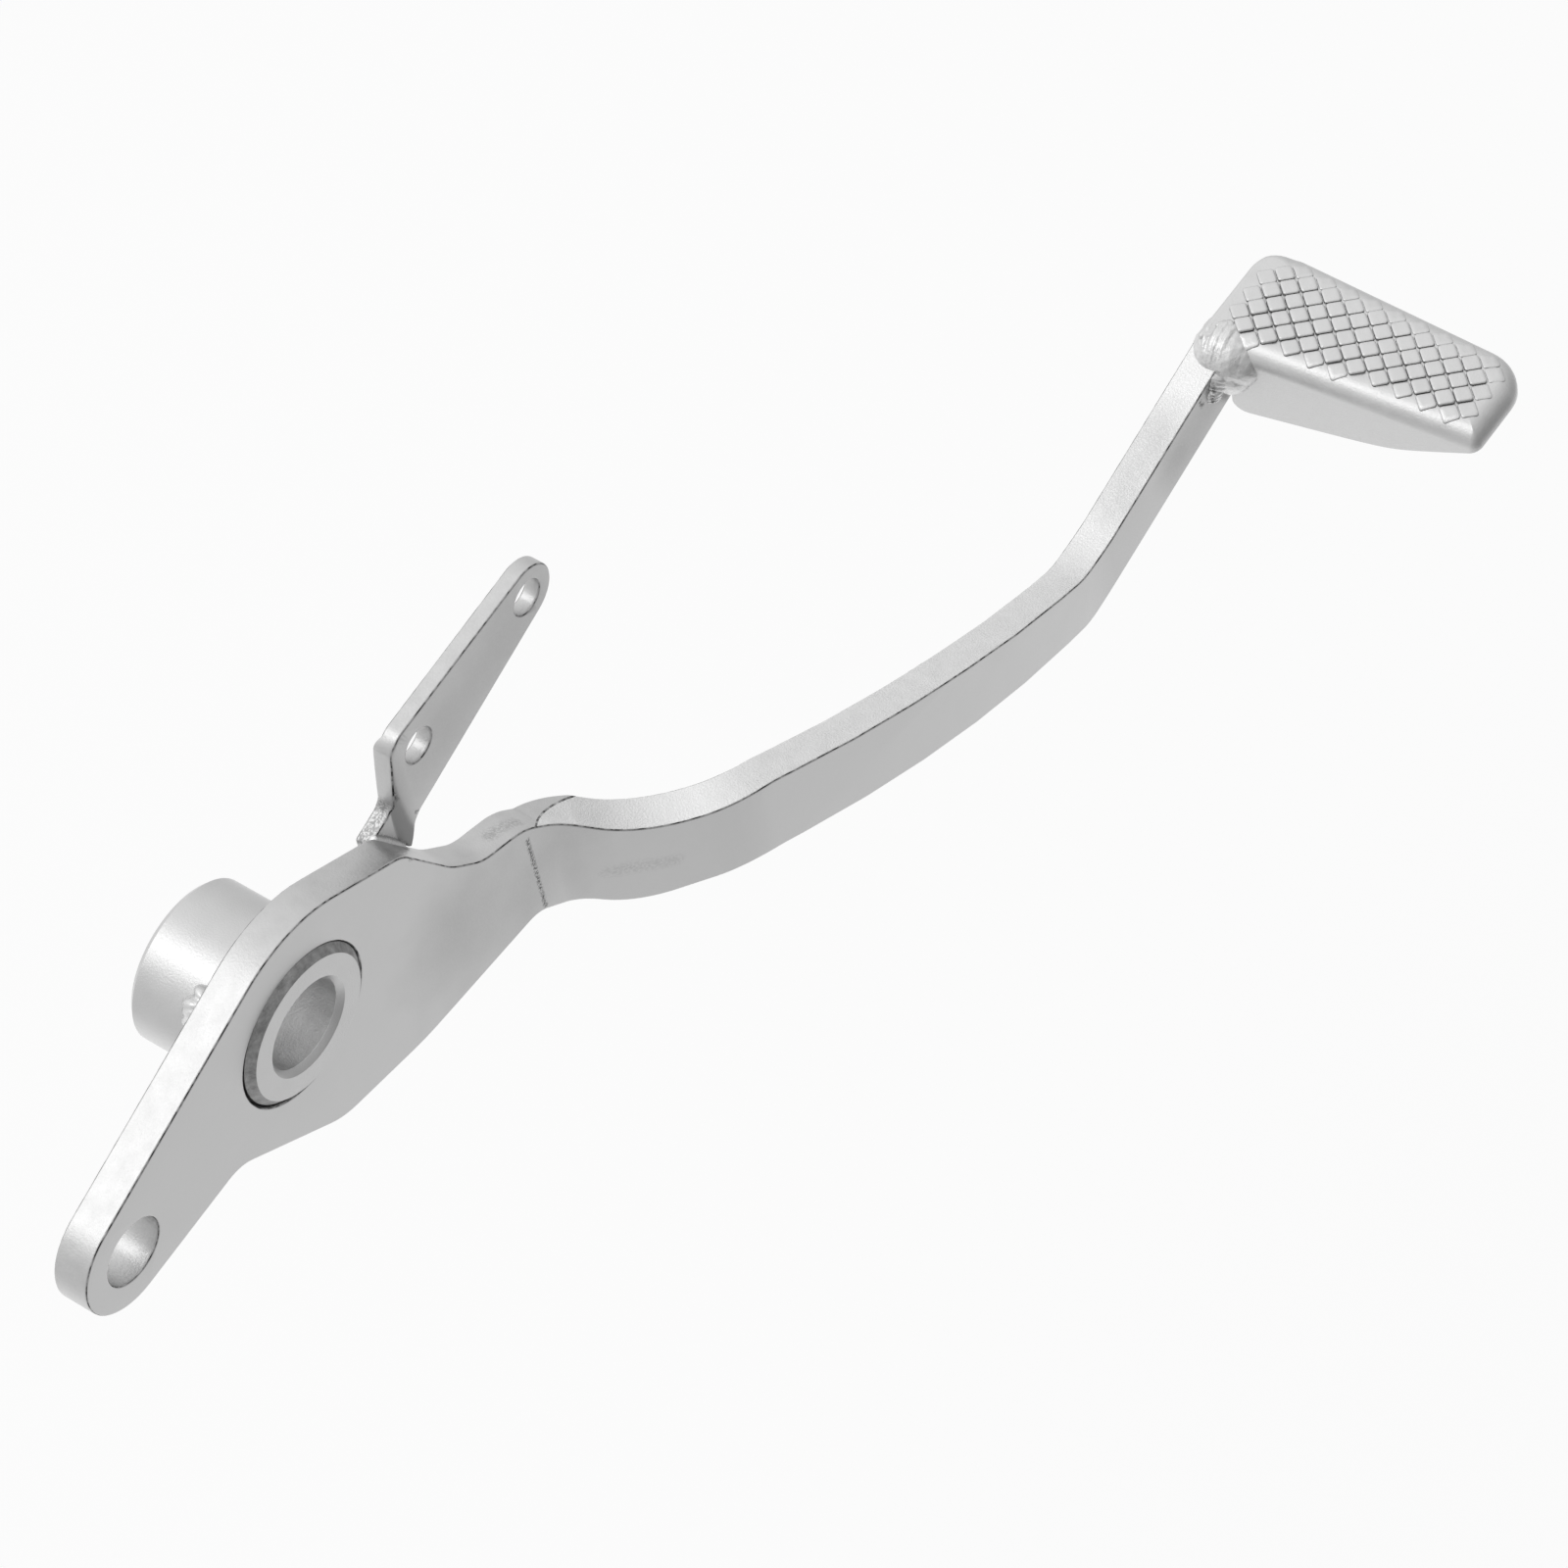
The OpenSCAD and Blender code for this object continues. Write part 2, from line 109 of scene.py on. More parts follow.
def srgb(code: str) -> tuple[float, float, float, float]:
    """Turn a hex colour into linear light.

    Args:
        code: Six hex digits, in sRGB.

    Returns:
        Red, green and blue in linear light, and an alpha of 1.
    """
    values = [int(code[i:i + 2], 16) / 255 for i in (0, 2, 4)]
    linear = [v / 12.92 if v <= 0.04045 else ((v + 0.055) / 1.055) ** 2.4 for v in values]
    return linear[0], linear[1], linear[2], 1.0


def arc(before: Corner, here: Corner, after: Corner, step: float,
        count: int = 0) -> list[Vector]:
    """Round one corner.

    Args:
        before: The corner before it.
        here: The corner.
        after: The corner after it.
        step: The largest turn between two points, in degrees.
        count: How many steps to take, where that is to stay the same for any turn.

    Returns:
        The points of its arc.
    """
    spot = Vector((here.x, here.z))
    to_before = (Vector(before[:2]) - spot).normalized()
    to_after = (Vector(after[:2]) - spot).normalized()
    half = to_before.angle(to_after) / 2
    centre = spot + (to_before + to_after).normalized() * here.r / math.sin(half)
    start = spot + to_before * here.r / math.tan(half) - centre
    turn = (math.pi - 2 * half) * (1 if to_after.cross(to_before) > 0 else -1)
    count = count or max(2, math.ceil(abs(math.degrees(turn)) / step))
    return [centre + Matrix.Rotation(turn * k / count, 2) @ start for k in range(count + 1)]


def rounded(corners: Sequence[Corner], step: float = ARC_STEP) -> list[Vector]:
    """Run a closed outline through its corners, with an arc at each.

    Args:
        corners: The corners in order.
        step: The largest turn between two points of an arc, in degrees.

    Returns:
        The outline's points, each once where two arcs meet.
    """
    points = [point for before, here, after in zip(corners[-1:] + corners[:-1], corners,
                                                   corners[1:] + corners[:1])
              for point in arc(before, here, after, step)]
    return [here for before, here in zip(points[-1:] + points[:-1], points)
            if (here - before).length > SAME_SPOT]


def touch(centre: Vector, r: float, point: Vector, side: int) -> float:
    """Find where a line from a point touches a round end.

    Args:
        centre: The round end's centre.
        r: Its radius.
        point: The point that the line comes from.
        side: 1 or -1, for the side on which it touches.

    Returns:
        The direction from the centre to the touching point, in radians.
    """
    gap = point - centre
    return math.atan2(gap.y, gap.x) + side * math.acos(r / gap.length)


def round_end(centre: Vector, r: float, start: float, end: float) -> list[Corner]:
    """Wrap a round end in two corners.

    Args:
        centre: The round end's centre.
        r: Its radius.
        start: The direction in which the wrap starts, in radians.
        end: The direction in which it ends.

    Returns:
        Two corners, each of the end's own radius.
    """
    quarter = (end - start) / 4
    out = r / math.cos(quarter)
    ways = [start + quarter, start + 3 * quarter]
    return [Corner(centre.x + out * math.cos(a), centre.y + out * math.sin(a), r) for a in ways]


def band(mesh: bmesh.types.BMesh, one: Sequence[bmesh.types.BMVert],
         other: Sequence[bmesh.types.BMVert], index: int = 0) -> list[bmesh.types.BMFace]:
    """Join two closed rings that have as many vertices.

    Args:
        mesh: The mesh that the rings are in.
        one: The first ring.
        other: The second ring.
        index: The material index of the faces.

    Returns:
        The band's faces, one between each two neighbours.
    """
    faces = [mesh.faces.new((one[i - 1], vert, other[i], other[i - 1]))
             for i, vert in enumerate(one)]
    for face in faces:
        face.material_index = index
    return faces


@dataclass
class FoldPath:
    """The plan of a sheet's outboard face: straight runs joined by folds.

    Attributes:
        corners: x, y and radius of each corner, from the rear to the front.
        runs: Where each straight run and each fold ends, and what gives its place and direction.
        folds: Where the lines across the folds lie.
    """

    corners: list[Corner]
    runs: list[tuple[float, Callable[[float], tuple[Vector, Vector]]]] = field(init=False)
    folds: list[float] = field(init=False)

    def __post_init__(self) -> None:
        """Work out the runs and the folds between them."""
        self.runs = []
        self.folds = []
        start = Vector(self.corners[0][:2])
        for before, here, after in zip(self.corners, self.corners[1:], self.corners[2:]):
            spot = Vector(here[:2])
            u = (spot - Vector(before[:2])).normalized()
            v = (Vector(after[:2]) - spot).normalized()
            turn = Turn.INBOARD if u.cross(v) > 0 else Turn.OUTBOARD
            angle = u.angle(v)
            reach = here.r * math.tan(angle / 2)
            left = Vector((-u.y, u.x)) * turn.value
            centre = spot - u * reach + left * here.r
            self.runs.append(((spot - u * reach).x, self._line(start, u)))
            self.runs.append(((spot + v * reach).x, self._arc(centre, here.r, turn)))
            count = max(3, math.ceil(math.degrees(angle) / FOLD_STEP))
            for k in range(count + 1):
                arm = Matrix.Rotation(turn.value * angle * k / count, 2) @ (left * -here.r)
                self.folds.append((centre + arm).x)
            start = spot + v * reach
        self.runs.append((math.inf, self._line(start, v)))

    @staticmethod
    def _line(start: Vector, way: Vector) -> Callable[[float], tuple[Vector, Vector]]:
        """Return a straight run's place and direction, by x."""
        return lambda x: (start + way * (x - start.x) / way.x, way)

    @staticmethod
    def _arc(centre: Vector, r: float, turn: Turn) -> Callable[[float], tuple[Vector, Vector]]:
        """Describe a fold.

        Args:
            centre: The fold's centre.
            r: Its radius.
            turn: Which way it turns.

        Returns:
            What gives its place and direction, by x.
        """
        def at(x: float) -> tuple[Vector, Vector]:
            """Return the fold's place and direction at x."""
            side = -turn.value
            y = centre.y + side * math.sqrt(max(0.0, r * r - (x - centre.x) ** 2))
            arm = (Vector((x, y)) - centre) / r
            return Vector((x, y)), Vector((arm.y * side, -arm.x * side))
        return at

    def beside(self, depth: float) -> "FoldPath":
        """Lay out the path of a face that lies deeper in the sheet, with the same folds.

        Args:
            depth: How much deeper it lies.

        Returns:
            The other face's path.
        """
        spots = [Vector(c[:2]) for c in self.corners]
        ways = [(b - a).normalized() for a, b in zip(spots, spots[1:])]
        moved = []
        for spot, corner, u, v in zip(spots, self.corners, ways[:1] + ways, ways + ways[-1:]):
            mitre = (Vector((-u.y, u.x)) + Vector((-v.y, v.x))) / (1 + u.dot(v))
            turn = (u.cross(v) > 0) - (u.cross(v) < 0)
            place = spot + mitre * depth
            moved.append(Corner(place.x, place.y, corner.r - depth * turn if corner.r else 0))
        return FoldPath(moved)

    def place(self, x: float, depth: float) -> tuple[float, float]:
        """Carry a point of the flat blank to its folded place.

        Args:
            x: Its x in the outboard face.
            depth: How deep it lies in the sheet, from that face.

        Returns:
            Its x and y after folding.
        """
        run = next(run for end, run in self.runs if x <= end)
        spot, way = run(x)
        return spot.x - way.y * depth, spot.y + way.x * depth


def piece(name: str, mesh: bmesh.types.BMesh, materials: Sequence[bpy.types.Material],
          nodes: Sequence[str], sharp: float | None = 40.0) -> bpy.types.Object:
    """Finish a mesh made in millimetres and put its object into the frame.

    Args:
        name: The object's name.
        mesh: The mesh, which is freed.
        materials: Its materials, in the order of its faces' indices.
        nodes: The solids that it stands for.
        sharp: The angle between two faces above which their edge stays sharp, in degrees, or
            None for a piece that is smooth all over.

    Returns:
        The object.
    """
    bmesh.ops.scale(mesh, vec=Vector((MM, MM, MM)), verts=mesh.verts)
    data = bpy.data.meshes.new(name)
    mesh.to_mesh(data)
    mesh.free()
    for material in materials:
        data.materials.append(material)
    data.shade_smooth()
    obj = bpy.data.objects.new(name, data)
    bpy.context.scene.collection.objects.link(obj)
    if sharp is not None:
        data.set_sharp_from_angle(angle=math.radians(sharp))
        weighted = obj.modifiers.new("flat_faces", "WEIGHTED_NORMAL")
        weighted.keep_sharp = True
        weighted.weight = 100
    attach(obj, BODY)
    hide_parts(*nodes)
    log.info("%s: %d faces, for %s", name, len(data.polygons), ", ".join(nodes))
    return obj


@dataclass
class FoldedSheet:
    """A sheet cut to an outline, pierced, rounded along its cut edges and folded.

    Attributes:
        corners: The outline's corners in the outboard face, in x and z.
        holes: The holes through it.
        path: The plan of its outboard face.
        thickness: The sheet's thickness.
        edge_r: The radius of the cut edges.
        cut: How the cut edges stand in the folds.
        torn: Where the cut edge turns rough, at the outboard and at the inboard face, and where
            it turns smooth again.
        step: The width of the dark step at the start of the rough stretch.
    """

    corners: list[Corner]
    holes: list[Hole]
    path: FoldPath
    thickness: float
    edge_r: float
    cut: Cut = Cut.WITH_THE_FOLD
    torn: tuple[float, float, float] | None = None
    step: float = 0.3

    def loops(self) -> list[list[Vector]]:
        """Draw the outline and the holes.

        Returns:
            Closed loops in x and z, each with the metal on its left.
        """
        outline = rounded(self.corners)
        area = sum(a.cross(b) for a, b in zip(outline, outline[1:] + outline[:1]))
        found = [outline if area > 0 else outline[::-1]]
        for hole in self.holes:
            turns = [-2 * math.pi * k / HOLE_SIDES for k in range(HOLE_SIDES)]
            found.append([Vector((hole.x + hole.d / 2 * math.cos(a),
                                  hole.z + hole.d / 2 * math.sin(a))) for a in turns])
        return found

    @staticmethod
    def drawn_in(loop: Sequence[Vector], inset: float) -> list[Vector]:
        """Move a loop's points into the metal.

        Args:
            loop: The loop, with the metal on its left.
            inset: How far each point moves.

        Returns:
            As many points, drawn in.
        """
        moved = []
        for before, here, after in zip([loop[-1], *loop[:-1]], loop, [*loop[1:], loop[0]]):
            way = (here - before).normalized() + (after - here).normalized()
            moved.append(here + Vector((-way.y, way.x)).normalized() * inset)
        return moved

    def blank(self) -> bmesh.types.BMesh:
        """Cut, pierce and deburr the flat sheet.

        Returns:
            The flat sheet, with the finish of each face set.
        """
        mesh = bmesh.new()
        turns = [math.radians(a) for a in (90, 60, 30, 0)]
        arcs = [(self.edge_r * (1 - math.cos(a)), self.edge_r * (1 - math.sin(a))) for a in turns]
        levels = arcs + [(inset, self.thickness - depth) for inset, depth in arcs[::-1]]
        skins = [Skin.ROLLED, Skin.RIM, Skin.SHEARED, Skin.SHEARED, Skin.SHEARED, Skin.RIM,
                 Skin.ROLLED]
        caps: list[list[bmesh.types.BMEdge]] = [[], []]
        for loop in self.loops():
            rings = [[mesh.verts.new((p.x, depth, p.y)) for p in self.drawn_in(loop, inset)]
                     for inset, depth in levels]
            for one, other, skin in zip(rings, rings[1:], skins):
                band(mesh, one, other, skin)
            for cap, ring in zip(caps, (rings[0], rings[-1])):
                cap += [mesh.edges.get((ring[i - 1], vert)) for i, vert in enumerate(ring)]
        for cap in caps:
            bmesh.ops.triangle_fill(mesh, use_beauty=True, edges=cap, normal=Vector((0, -1, 0)))
        return mesh

    def tear(self, mesh: bmesh.types.BMesh) -> None:
        """Give the rough stretch of the cut edge its finish, and the step before it the rim's.

        Args:
            mesh: The flat sheet.
        """
        if self.torn is None:
            return
        start, end, last = self.torn
        normal = Vector((self.thickness, start - end, 0)).normalized()
        spots = [Vector((start, 0, 0)), Vector((start, 0, 0)) + normal * self.step]
        for spot in spots:
            self.split(mesh, spot, normal)
        self.split(mesh, Vector((last, 0, 0)), Vector((1, 0, 0)))
        for face in mesh.faces:
            middle = face.calc_center_median()
            ahead = (middle - spots[0]).dot(normal)
            if face.material_index == Skin.SHEARED and ahead > 0 and middle.x < last:
                face.material_index = Skin.RIM if ahead < self.step else Skin.TORN

    @staticmethod
    def split(mesh: bmesh.types.BMesh, spot: Vector, normal: Vector) -> None:
        """Draw a line across the whole mesh, where a plane meets it."""
        bmesh.ops.bisect_plane(mesh, geom=mesh.verts[:] + mesh.edges[:] + mesh.faces[:],
                               dist=0.005, plane_co=spot, plane_no=normal)

    def build(self) -> bmesh.types.BMesh:
        """Cut the sheet and fold it, with a line across it at each step of a fold.

        Returns:
            The folded sheet.
        """
        mesh = self.blank()
        self.tear(mesh)
        low = min(v.co.x for v in mesh.verts)
        high = max(v.co.x for v in mesh.verts)
        inner = self.path.beside(self.thickness)
        steps = self.path.folds + (inner.folds if self.cut is Cut.ACROSS else [])
        for x in steps:
            if low < x < high:
                self.split(mesh, Vector((x, 0, 0)), Vector((1, 0, 0)))
        for vert in mesh.verts:
            x, depth = vert.co.x, vert.co.y
            if self.cut is Cut.ACROSS:
                near, far = self.path.place(x, 0)[1], inner.place(x, 0)[1]
                vert.co.y = near + (far - near) * depth / self.thickness
            else:
                vert.co.x, vert.co.y = self.path.place(x, depth)
        bmesh.ops.recalc_face_normals(mesh, faces=mesh.faces)
        return mesh


@dataclass
class LeverPlate:
    """The lever: plate round the pivot, joggle, arm and the end that runs into the pad.

    Attributes:
        back: The corners of the side view over the pivot and down to the joggle.
        arm_top: The corners along the top of the joggle and the arm.
        arm_low: The corners under the arm, from the front to the rear.
        belly: The corners under the plate, from the joggle to the lug.
        rise_top: How steeply the top of the arm's last stretch rises, in degrees.
        rise_low: The same under it.
        end_x: Where the arm ends.
        end_z: How high its end reaches.
        fold_a: x and inner radius of the joggle's first fold.
        fold_b: The same of its second fold.
        sweep: The same of the long bend in the arm.
        last_bend: The same of the bend before the pad.
        angles: The plan's slope outboard after each of the first three folds, in degrees.
        torn: Where the cut edge is rough, as FoldedSheet has it.
    """

    thickness: float = 6.0
    edge_r: float = 0.36
    lug: Hole = Hole(-40.7, -4.1, 11.0)
    lug_r: float = 10.2
    tube_hole: Hole = Hole(-0.13, -0.1, 26.54)
    back: list[Corner] = field(default_factory=lambda: [
        Corner(2.7, 22.9, 22), Corner(26.3, 9, 8), Corner(34.4, -5.1, 15),
        Corner(40.2, -11.3, 10), Corner(49.4, -15.0, 13)])
    arm_top: list[Corner] = field(default_factory=lambda: [
        Corner(64.9, -31.7, 16), Corner(80.2, -31.9, 26), Corner(125, -57.6, 150),
        Corner(166.7, -83.2, 15)])
    arm_low: list[Corner] = field(default_factory=lambda: [
        Corner(165.9, -94.9, 15), Corner(79, -48.6, 20), Corner(62.4, -49.2, 12)])
    belly: list[Corner] = field(default_factory=lambda: [
        Corner(47.8, -35.7, 7), Corner(20.2, -33.2, 40), Corner(1.4, -28.7, 14),
        Corner(-18.6, -12.9, 7)])
    rise_top: float = 16.0
    rise_low: float = 15.8
    end_x: float = 221.1
    end_z: float = -71.7
    fold_a: tuple[float, float] = (56.0, 8.0)
    fold_b: tuple[float, float] = (77.0, 14.0)
    sweep: tuple[float, float] = (122.0, 280.0)
    last_bend: tuple[float, float] = (168.5, 45.0)
    angles: tuple[float, float, float] = (38.5, 6.0, -8.0)
    torn: tuple[float, float, float] = (51.3, 58.8, AHEAD)

    def path(self) -> FoldPath:
        """Lay out the plan of the outboard face.

        Returns:
            The path from behind the lug to past the arm's end.
        """
        (a_x, a_r), (b_x, b_r) = self.fold_a, self.fold_b
        (s_x, s_r), (l_x, l_r) = self.sweep, self.last_bend
        slopes = [math.tan(math.radians(a)) for a in self.angles]
        b_y = -(b_x - a_x) * slopes[0]
        s_y = b_y - (s_x - b_x) * slopes[1]
        l_y = s_y - (l_x - s_x) * slopes[2]
        return FoldPath([
            Corner(BEHIND, 0, 0), Corner(a_x, 0, a_r), Corner(b_x, b_y, b_r + self.thickness),
            Corner(s_x, s_y, s_r), Corner(l_x, l_y, l_r), Corner(AHEAD, l_y, 0)])

    def outline(self) -> list[Corner]:
        """List the corners of the side view, round the lug at the end.

        Returns:
            The corners in order.
        """
        lug = Vector((self.lug.x, self.lug.z))
        top = touch(lug, self.lug_r, Vector(self.back[0][:2]), 1)
        low = touch(lug, self.lug_r, Vector(self.belly[-1][:2]), -1) + 2 * math.pi
        knee, knee_low = self.arm_top[-1], self.arm_low[0]
        meet_x = knee.x + (self.end_z - knee.z) / math.tan(math.radians(self.rise_top))
        low_z = knee_low.z + (self.end_x - knee_low.x) * math.tan(math.radians(self.rise_low))
        end = [Corner(meet_x, self.end_z, 6), Corner(self.end_x, self.end_z, 3),
               Corner(self.end_x, low_z, 2)]
        wrap = round_end(lug, self.lug_r, low, top)
        return self.back + self.arm_top + end + self.arm_low + self.belly + wrap

    def make(self, finishes: Sequence[bpy.types.Material]) -> bpy.types.Object:
        """Build and dress the lever.

        Args:
            finishes: The finishes of the rolled faces, the sheared edges, their outer rim and
                the torn stretch.

        Returns:
            The lever's object.
        """
        sheet = FoldedSheet(self.outline(), [self.lug, self.tube_hole], self.path(),
                            self.thickness, self.edge_r, Cut.WITH_THE_FOLD, self.torn)
        return piece("lever", sheet.build(), finishes, ["lever_plate"])


@dataclass
class SwitchBracket:
    """The slim bracket: foot behind the plate, small joggle and leaf with two holes.

    Attributes:
        tip: The upper hole, round which the leaf ends.
        root: The lower hole.
        foot: The corners of the side view up the foot's rear and to the leaf.
        front: The corners down the front, with the notch above the bead, to the foot's end.
        foot_y: How deep the foot's outboard face lies.
        leaf_offset: How far outboard of it the leaf's face stands.
    """

    thickness: float = 2.7
    edge_r: float = 0.35
    tip: Hole = Hole(65.1, 22.2, 5.8)
    root: Hole = Hole(38.2, 18.9, 5.8)
    tip_r: float = 5.5
    foot: list[Corner] = field(default_factory=lambda: [
        Corner(25.6, -6, 2), Corner(25.6, 7.2, 0.8), Corner(31.5, 9, 2.5),
        Corner(33.2, 24.8, 3.6)])
    front: list[Corner] = field(default_factory=lambda: [
        Corner(34.0, 5.8, 3), Corner(32.3, -1.2, 0.3), Corner(30.7, 1.6, 0.2),
        Corner(30.7, -6, 2)])
    foot_y: float = 6.0
    leaf_offset: float = 1.9
    fold_x: float = 32.2
    fold_angle: float = 40.0
    fold_r: float = 0.6

    def path(self) -> FoldPath:
        """Lay out the plan of the outboard face.

        Returns:
            The path from behind the foot to past the leaf's tip.
        """
        half = self.leaf_offset / math.tan(math.radians(self.fold_angle)) / 2
        leaf_y = self.foot_y - self.leaf_offset
        return FoldPath([
            Corner(BEHIND, self.foot_y, 0), Corner(self.fold_x - half, self.foot_y, self.fold_r),
            Corner(self.fold_x + half, leaf_y, self.fold_r + self.thickness),
            Corner(AHEAD, leaf_y, 0)])

    def outline(self) -> list[Corner]:
        """List the corners of the side view.

        Returns:
            The corners in order.
        """
        tip = Vector((self.tip.x, self.tip.z))
        top = touch(tip, self.tip_r, Vector(self.foot[-1][:2]), -1)
        low = touch(tip, self.tip_r, Vector(self.front[0][:2]), 1)
        return self.foot + round_end(tip, self.tip_r, top, low) + self.front

    def make(self, finishes: Sequence[bpy.types.Material]) -> bpy.types.Object:
        """Build and dress the bracket.

        Args:
            finishes: The finishes of the rolled faces, the sheared edges and their outer rim.

        Returns:
            The bracket's object.
        """
        sheet = FoldedSheet(self.outline(), [self.tip, self.root], self.path(),
                            self.thickness, self.edge_r, Cut.ACROSS)
        return piece("bracket", sheet.build(), finishes, ["switch_bracket"])


@dataclass
class PivotTube:
    """The turned tube: its section, spun round the pivot axis.

    Attributes:
        outboard: The y of its outboard end.
        inboard: The y of its inboard end.
        rim: The size of the outer chamfer at the outboard end.
        mouth: The size of the other chamfers.
        edge_r: The radius of their edges.
        sides: How many sides its round faces have.
    """

    outer_r: float = 13.0
    bore_r: float = 7.3
    outboard: float = -1.0
    inboard: float = 21.6
    rim: float = 1.2
    mouth: float = 0.9
    edge_r: float = 0.15
    sides: int = 160

    def section(self) -> list[Vector]:
        """Draw the section, as distances from the axis and along it.

        Returns:
            The closed section's points.
        """
        low, high, r = self.outboard, self.inboard, self.edge_r
        inner, outer = self.bore_r, self.outer_r
        return rounded([
            Corner(inner, low + self.mouth, r), Corner(inner + self.mouth, low, r),
            Corner(outer - self.rim, low, r), Corner(outer, low + self.rim, r),
            Corner(outer, high - self.mouth, r), Corner(outer - self.mouth, high, r),
            Corner(inner + self.mouth, high, r), Corner(inner, high - self.mouth, r)], 15)

    def make(self, finishes: Sequence[bpy.types.Material]) -> bpy.types.Object:
        """Spin and dress the tube.

        Args:
            finishes: The finishes of the turned faces, the outer chamfer and the bore.

        Returns:
            The tube's object.
        """
        mesh = bmesh.new()
        ring = [mesh.verts.new((p.x, p.y, 0)) for p in self.section()]
        edges = [mesh.edges.new(pair) for pair in zip(ring, ring[1:] + ring[:1])]
        bmesh.ops.spin(mesh, geom=ring + edges, cent=(0, 0, 0), axis=(0, 1, 0),
                       angle=2 * math.pi, steps=self.sides, use_merge=True)
        bmesh.ops.recalc_face_normals(mesh, faces=mesh.faces)
        for face in mesh.faces:
            middle = face.calc_center_median()
            out = Vector((middle.x, 0, middle.z))
            outwards = face.normal.dot(out.normalized())
            if middle.y < self.outboard + self.rim and 0.3 < outwards < 0.95:
                face.material_index = 1
            elif outwards < -0.9:
                face.material_index = 2
        return piece("tube", mesh, finishes, ["pivot_tube"])


@dataclass
class FootPad:
    """The pressed tread pad: a bent shell, open at its inboard end, with raised cells.

    Attributes:
        taper: How much further forward the rear edge lies at the outer end.
        inboard: The y of the inboard end.
        top: The height of the flat top.
        shell: The thickness of the sheet.
        depths: How deep the walls reach at the inboard end, where they turn up and at the tip.
        turn_up: How far from the tip the walls' lower edge turns up.
        turn_blend: How long that turn is.
        edge_r: The rounding of the top's edges.
        lip_r: The tighter rounding of the inboard lip.
        lip_run: How far that rounding runs from the lip, and over how far it widens.
        corner_r: The plan's corners: rear and front inboard, front and rear outboard.
        returned: How far the front wall returns across the inboard end.
        arm_side: The y of the arm's outboard face, beside which the rear wall is open.
        notch_r: The radius of the opening's corner.
        skirt: How far the sheet hangs below its inner face where a wall is open.
        cell: The spacing of the cells along x and along y.
        groove: The width of the groove between two cells.
        cell_r: The radius of a cell's corners.
        cell_h: The height of a full cell.
        margins: The room without cells at the front, rear, inboard end and tip.
        pillow: Each ring of a cell, as a share of its outline, and as a share of its height or,
            below 0, in millimetres under the top.
    """

    rear_x: float = 205.9
    front_x: float = 228.4
    taper: float = 5.2
    inboard: float = -9.7
    length: float = 50.2
    top: float = -69.1
    shell: float = 2.3
    depths: tuple[float, float, float] = (18.2, 12.1, 3.9)
    turn_up: float = 15.6
    turn_blend: float = 4.0
    edge_r: float = 3.6
    lip_r: float = 0.9
    lip_run: tuple[float, float] = (1.0, 3.5)
    corner_r: tuple[float, float, float, float] = (0.8, 6.6, 7.5, 1.8)
    returned: float = 7.0
    arm_side: float = -15.2
    notch_r: float = 3.0
    skirt: float = 0.4
    cell: tuple[float, float] = (4.0, 4.45)
    groove: float = 0.14
    cell_r: float = 0.5
    cell_h: float = 0.55
    margins: tuple[float, float, float, float] = (3.0, 2.6, 3.6, 4.2)
    pillow: tuple[tuple[float, float], ...] = (
        (1.0, -0.4), (1.0, 0.45), (0.96, 0.75), (0.88, 0.93), (0.7, 1.0), (0.4, 1.0))

    def tip(self) -> float:
        """Return the y of the outer end."""
        return self.inboard - self.length

    def rear_at(self, y: float) -> float:
        """Return the x of the rear edge at y."""
        return self.rear_x + self.taper * (self.inboard - y) / self.length

    def plan(self, inset: float) -> list[Vector]:
        """Draw the outline seen from above, always with as many points.

        Args:
            inset: How far it is drawn in from the outer face.

        Returns:
            The closed outline's points, from the rear inboard corner round the front.
        """
        lean = inset * math.hypot(self.taper, self.length) / self.length
        inner, tip = self.inboard - inset, self.tip() + inset
        front = self.front_x - inset
        radii = [max(r - inset, 0.05) for r in self.corner_r]
        spots = [(self.rear_at(inner) + lean, inner), (front, inner), (front, tip),
                 (self.rear_at(tip) + lean, tip)]
        corners = [Corner(x, y, r) for (x, y), r in zip(spots, radii)]
        arcs = [arc(corners[i - 1], corners[i], corners[(i + 1) % 4], 0, CORNER_SIDES)
                for i in range(4)]
        outline: list[Vector] = []
        for i, (bend, stops) in enumerate(zip(arcs, self.stops())):
            way = arcs[(i + 1) % 4][0] - bend[-1]
            axis = 0 if i == 0 else 1
            outline += bend
            outline += [bend[-1] + way * (s - bend[-1][axis]) / way[axis] for s in stops]
        return outline

    def stops(self) -> list[list[float]]:
        """Place the points between the plan's corners, where the walls' depth changes.

        Returns:
            The x of those on the inboard side, then the y of those on the front, the tip and the
            rear.
        """
        opening = self.front_x - self.returned
        notch = [self.arm_side - self.notch_r * (1 - math.sin(math.radians(a)))
                 for a in range(0, 91, 15)]
        front = [self.inboard - k for k in range(8, int(self.length) - 8)]
        rear = [self.tip() + k for k in range(4, int(self.arm_side - self.tip()))]
        rear = [y for y in rear if y < notch[0] - 0.5] + notch + [self.arm_side + 0.05]
        return [[*range(210, 220, 3), opening - 0.1, opening], front, [], rear]

    def lower_edge(self, y: float) -> float:
        """Work out the lower edge of the walls, bent up towards the outer end.

        Args:
            y: Where along the pad.

        Returns:
            The edge's z there.
        """
        deep, middle, tip = self.depths
        bend = self.tip() + self.turn_up
        inner_slope = (deep - middle) / (self.length - self.turn_up)
        outer_slope = (middle - tip) / self.turn_up
        gap = y - bend
        soft = 0.5 * (gap + math.hypot(gap, self.turn_blend))
        depth = middle + outer_slope * (gap - soft) + inner_slope * soft
        return self.top - depth

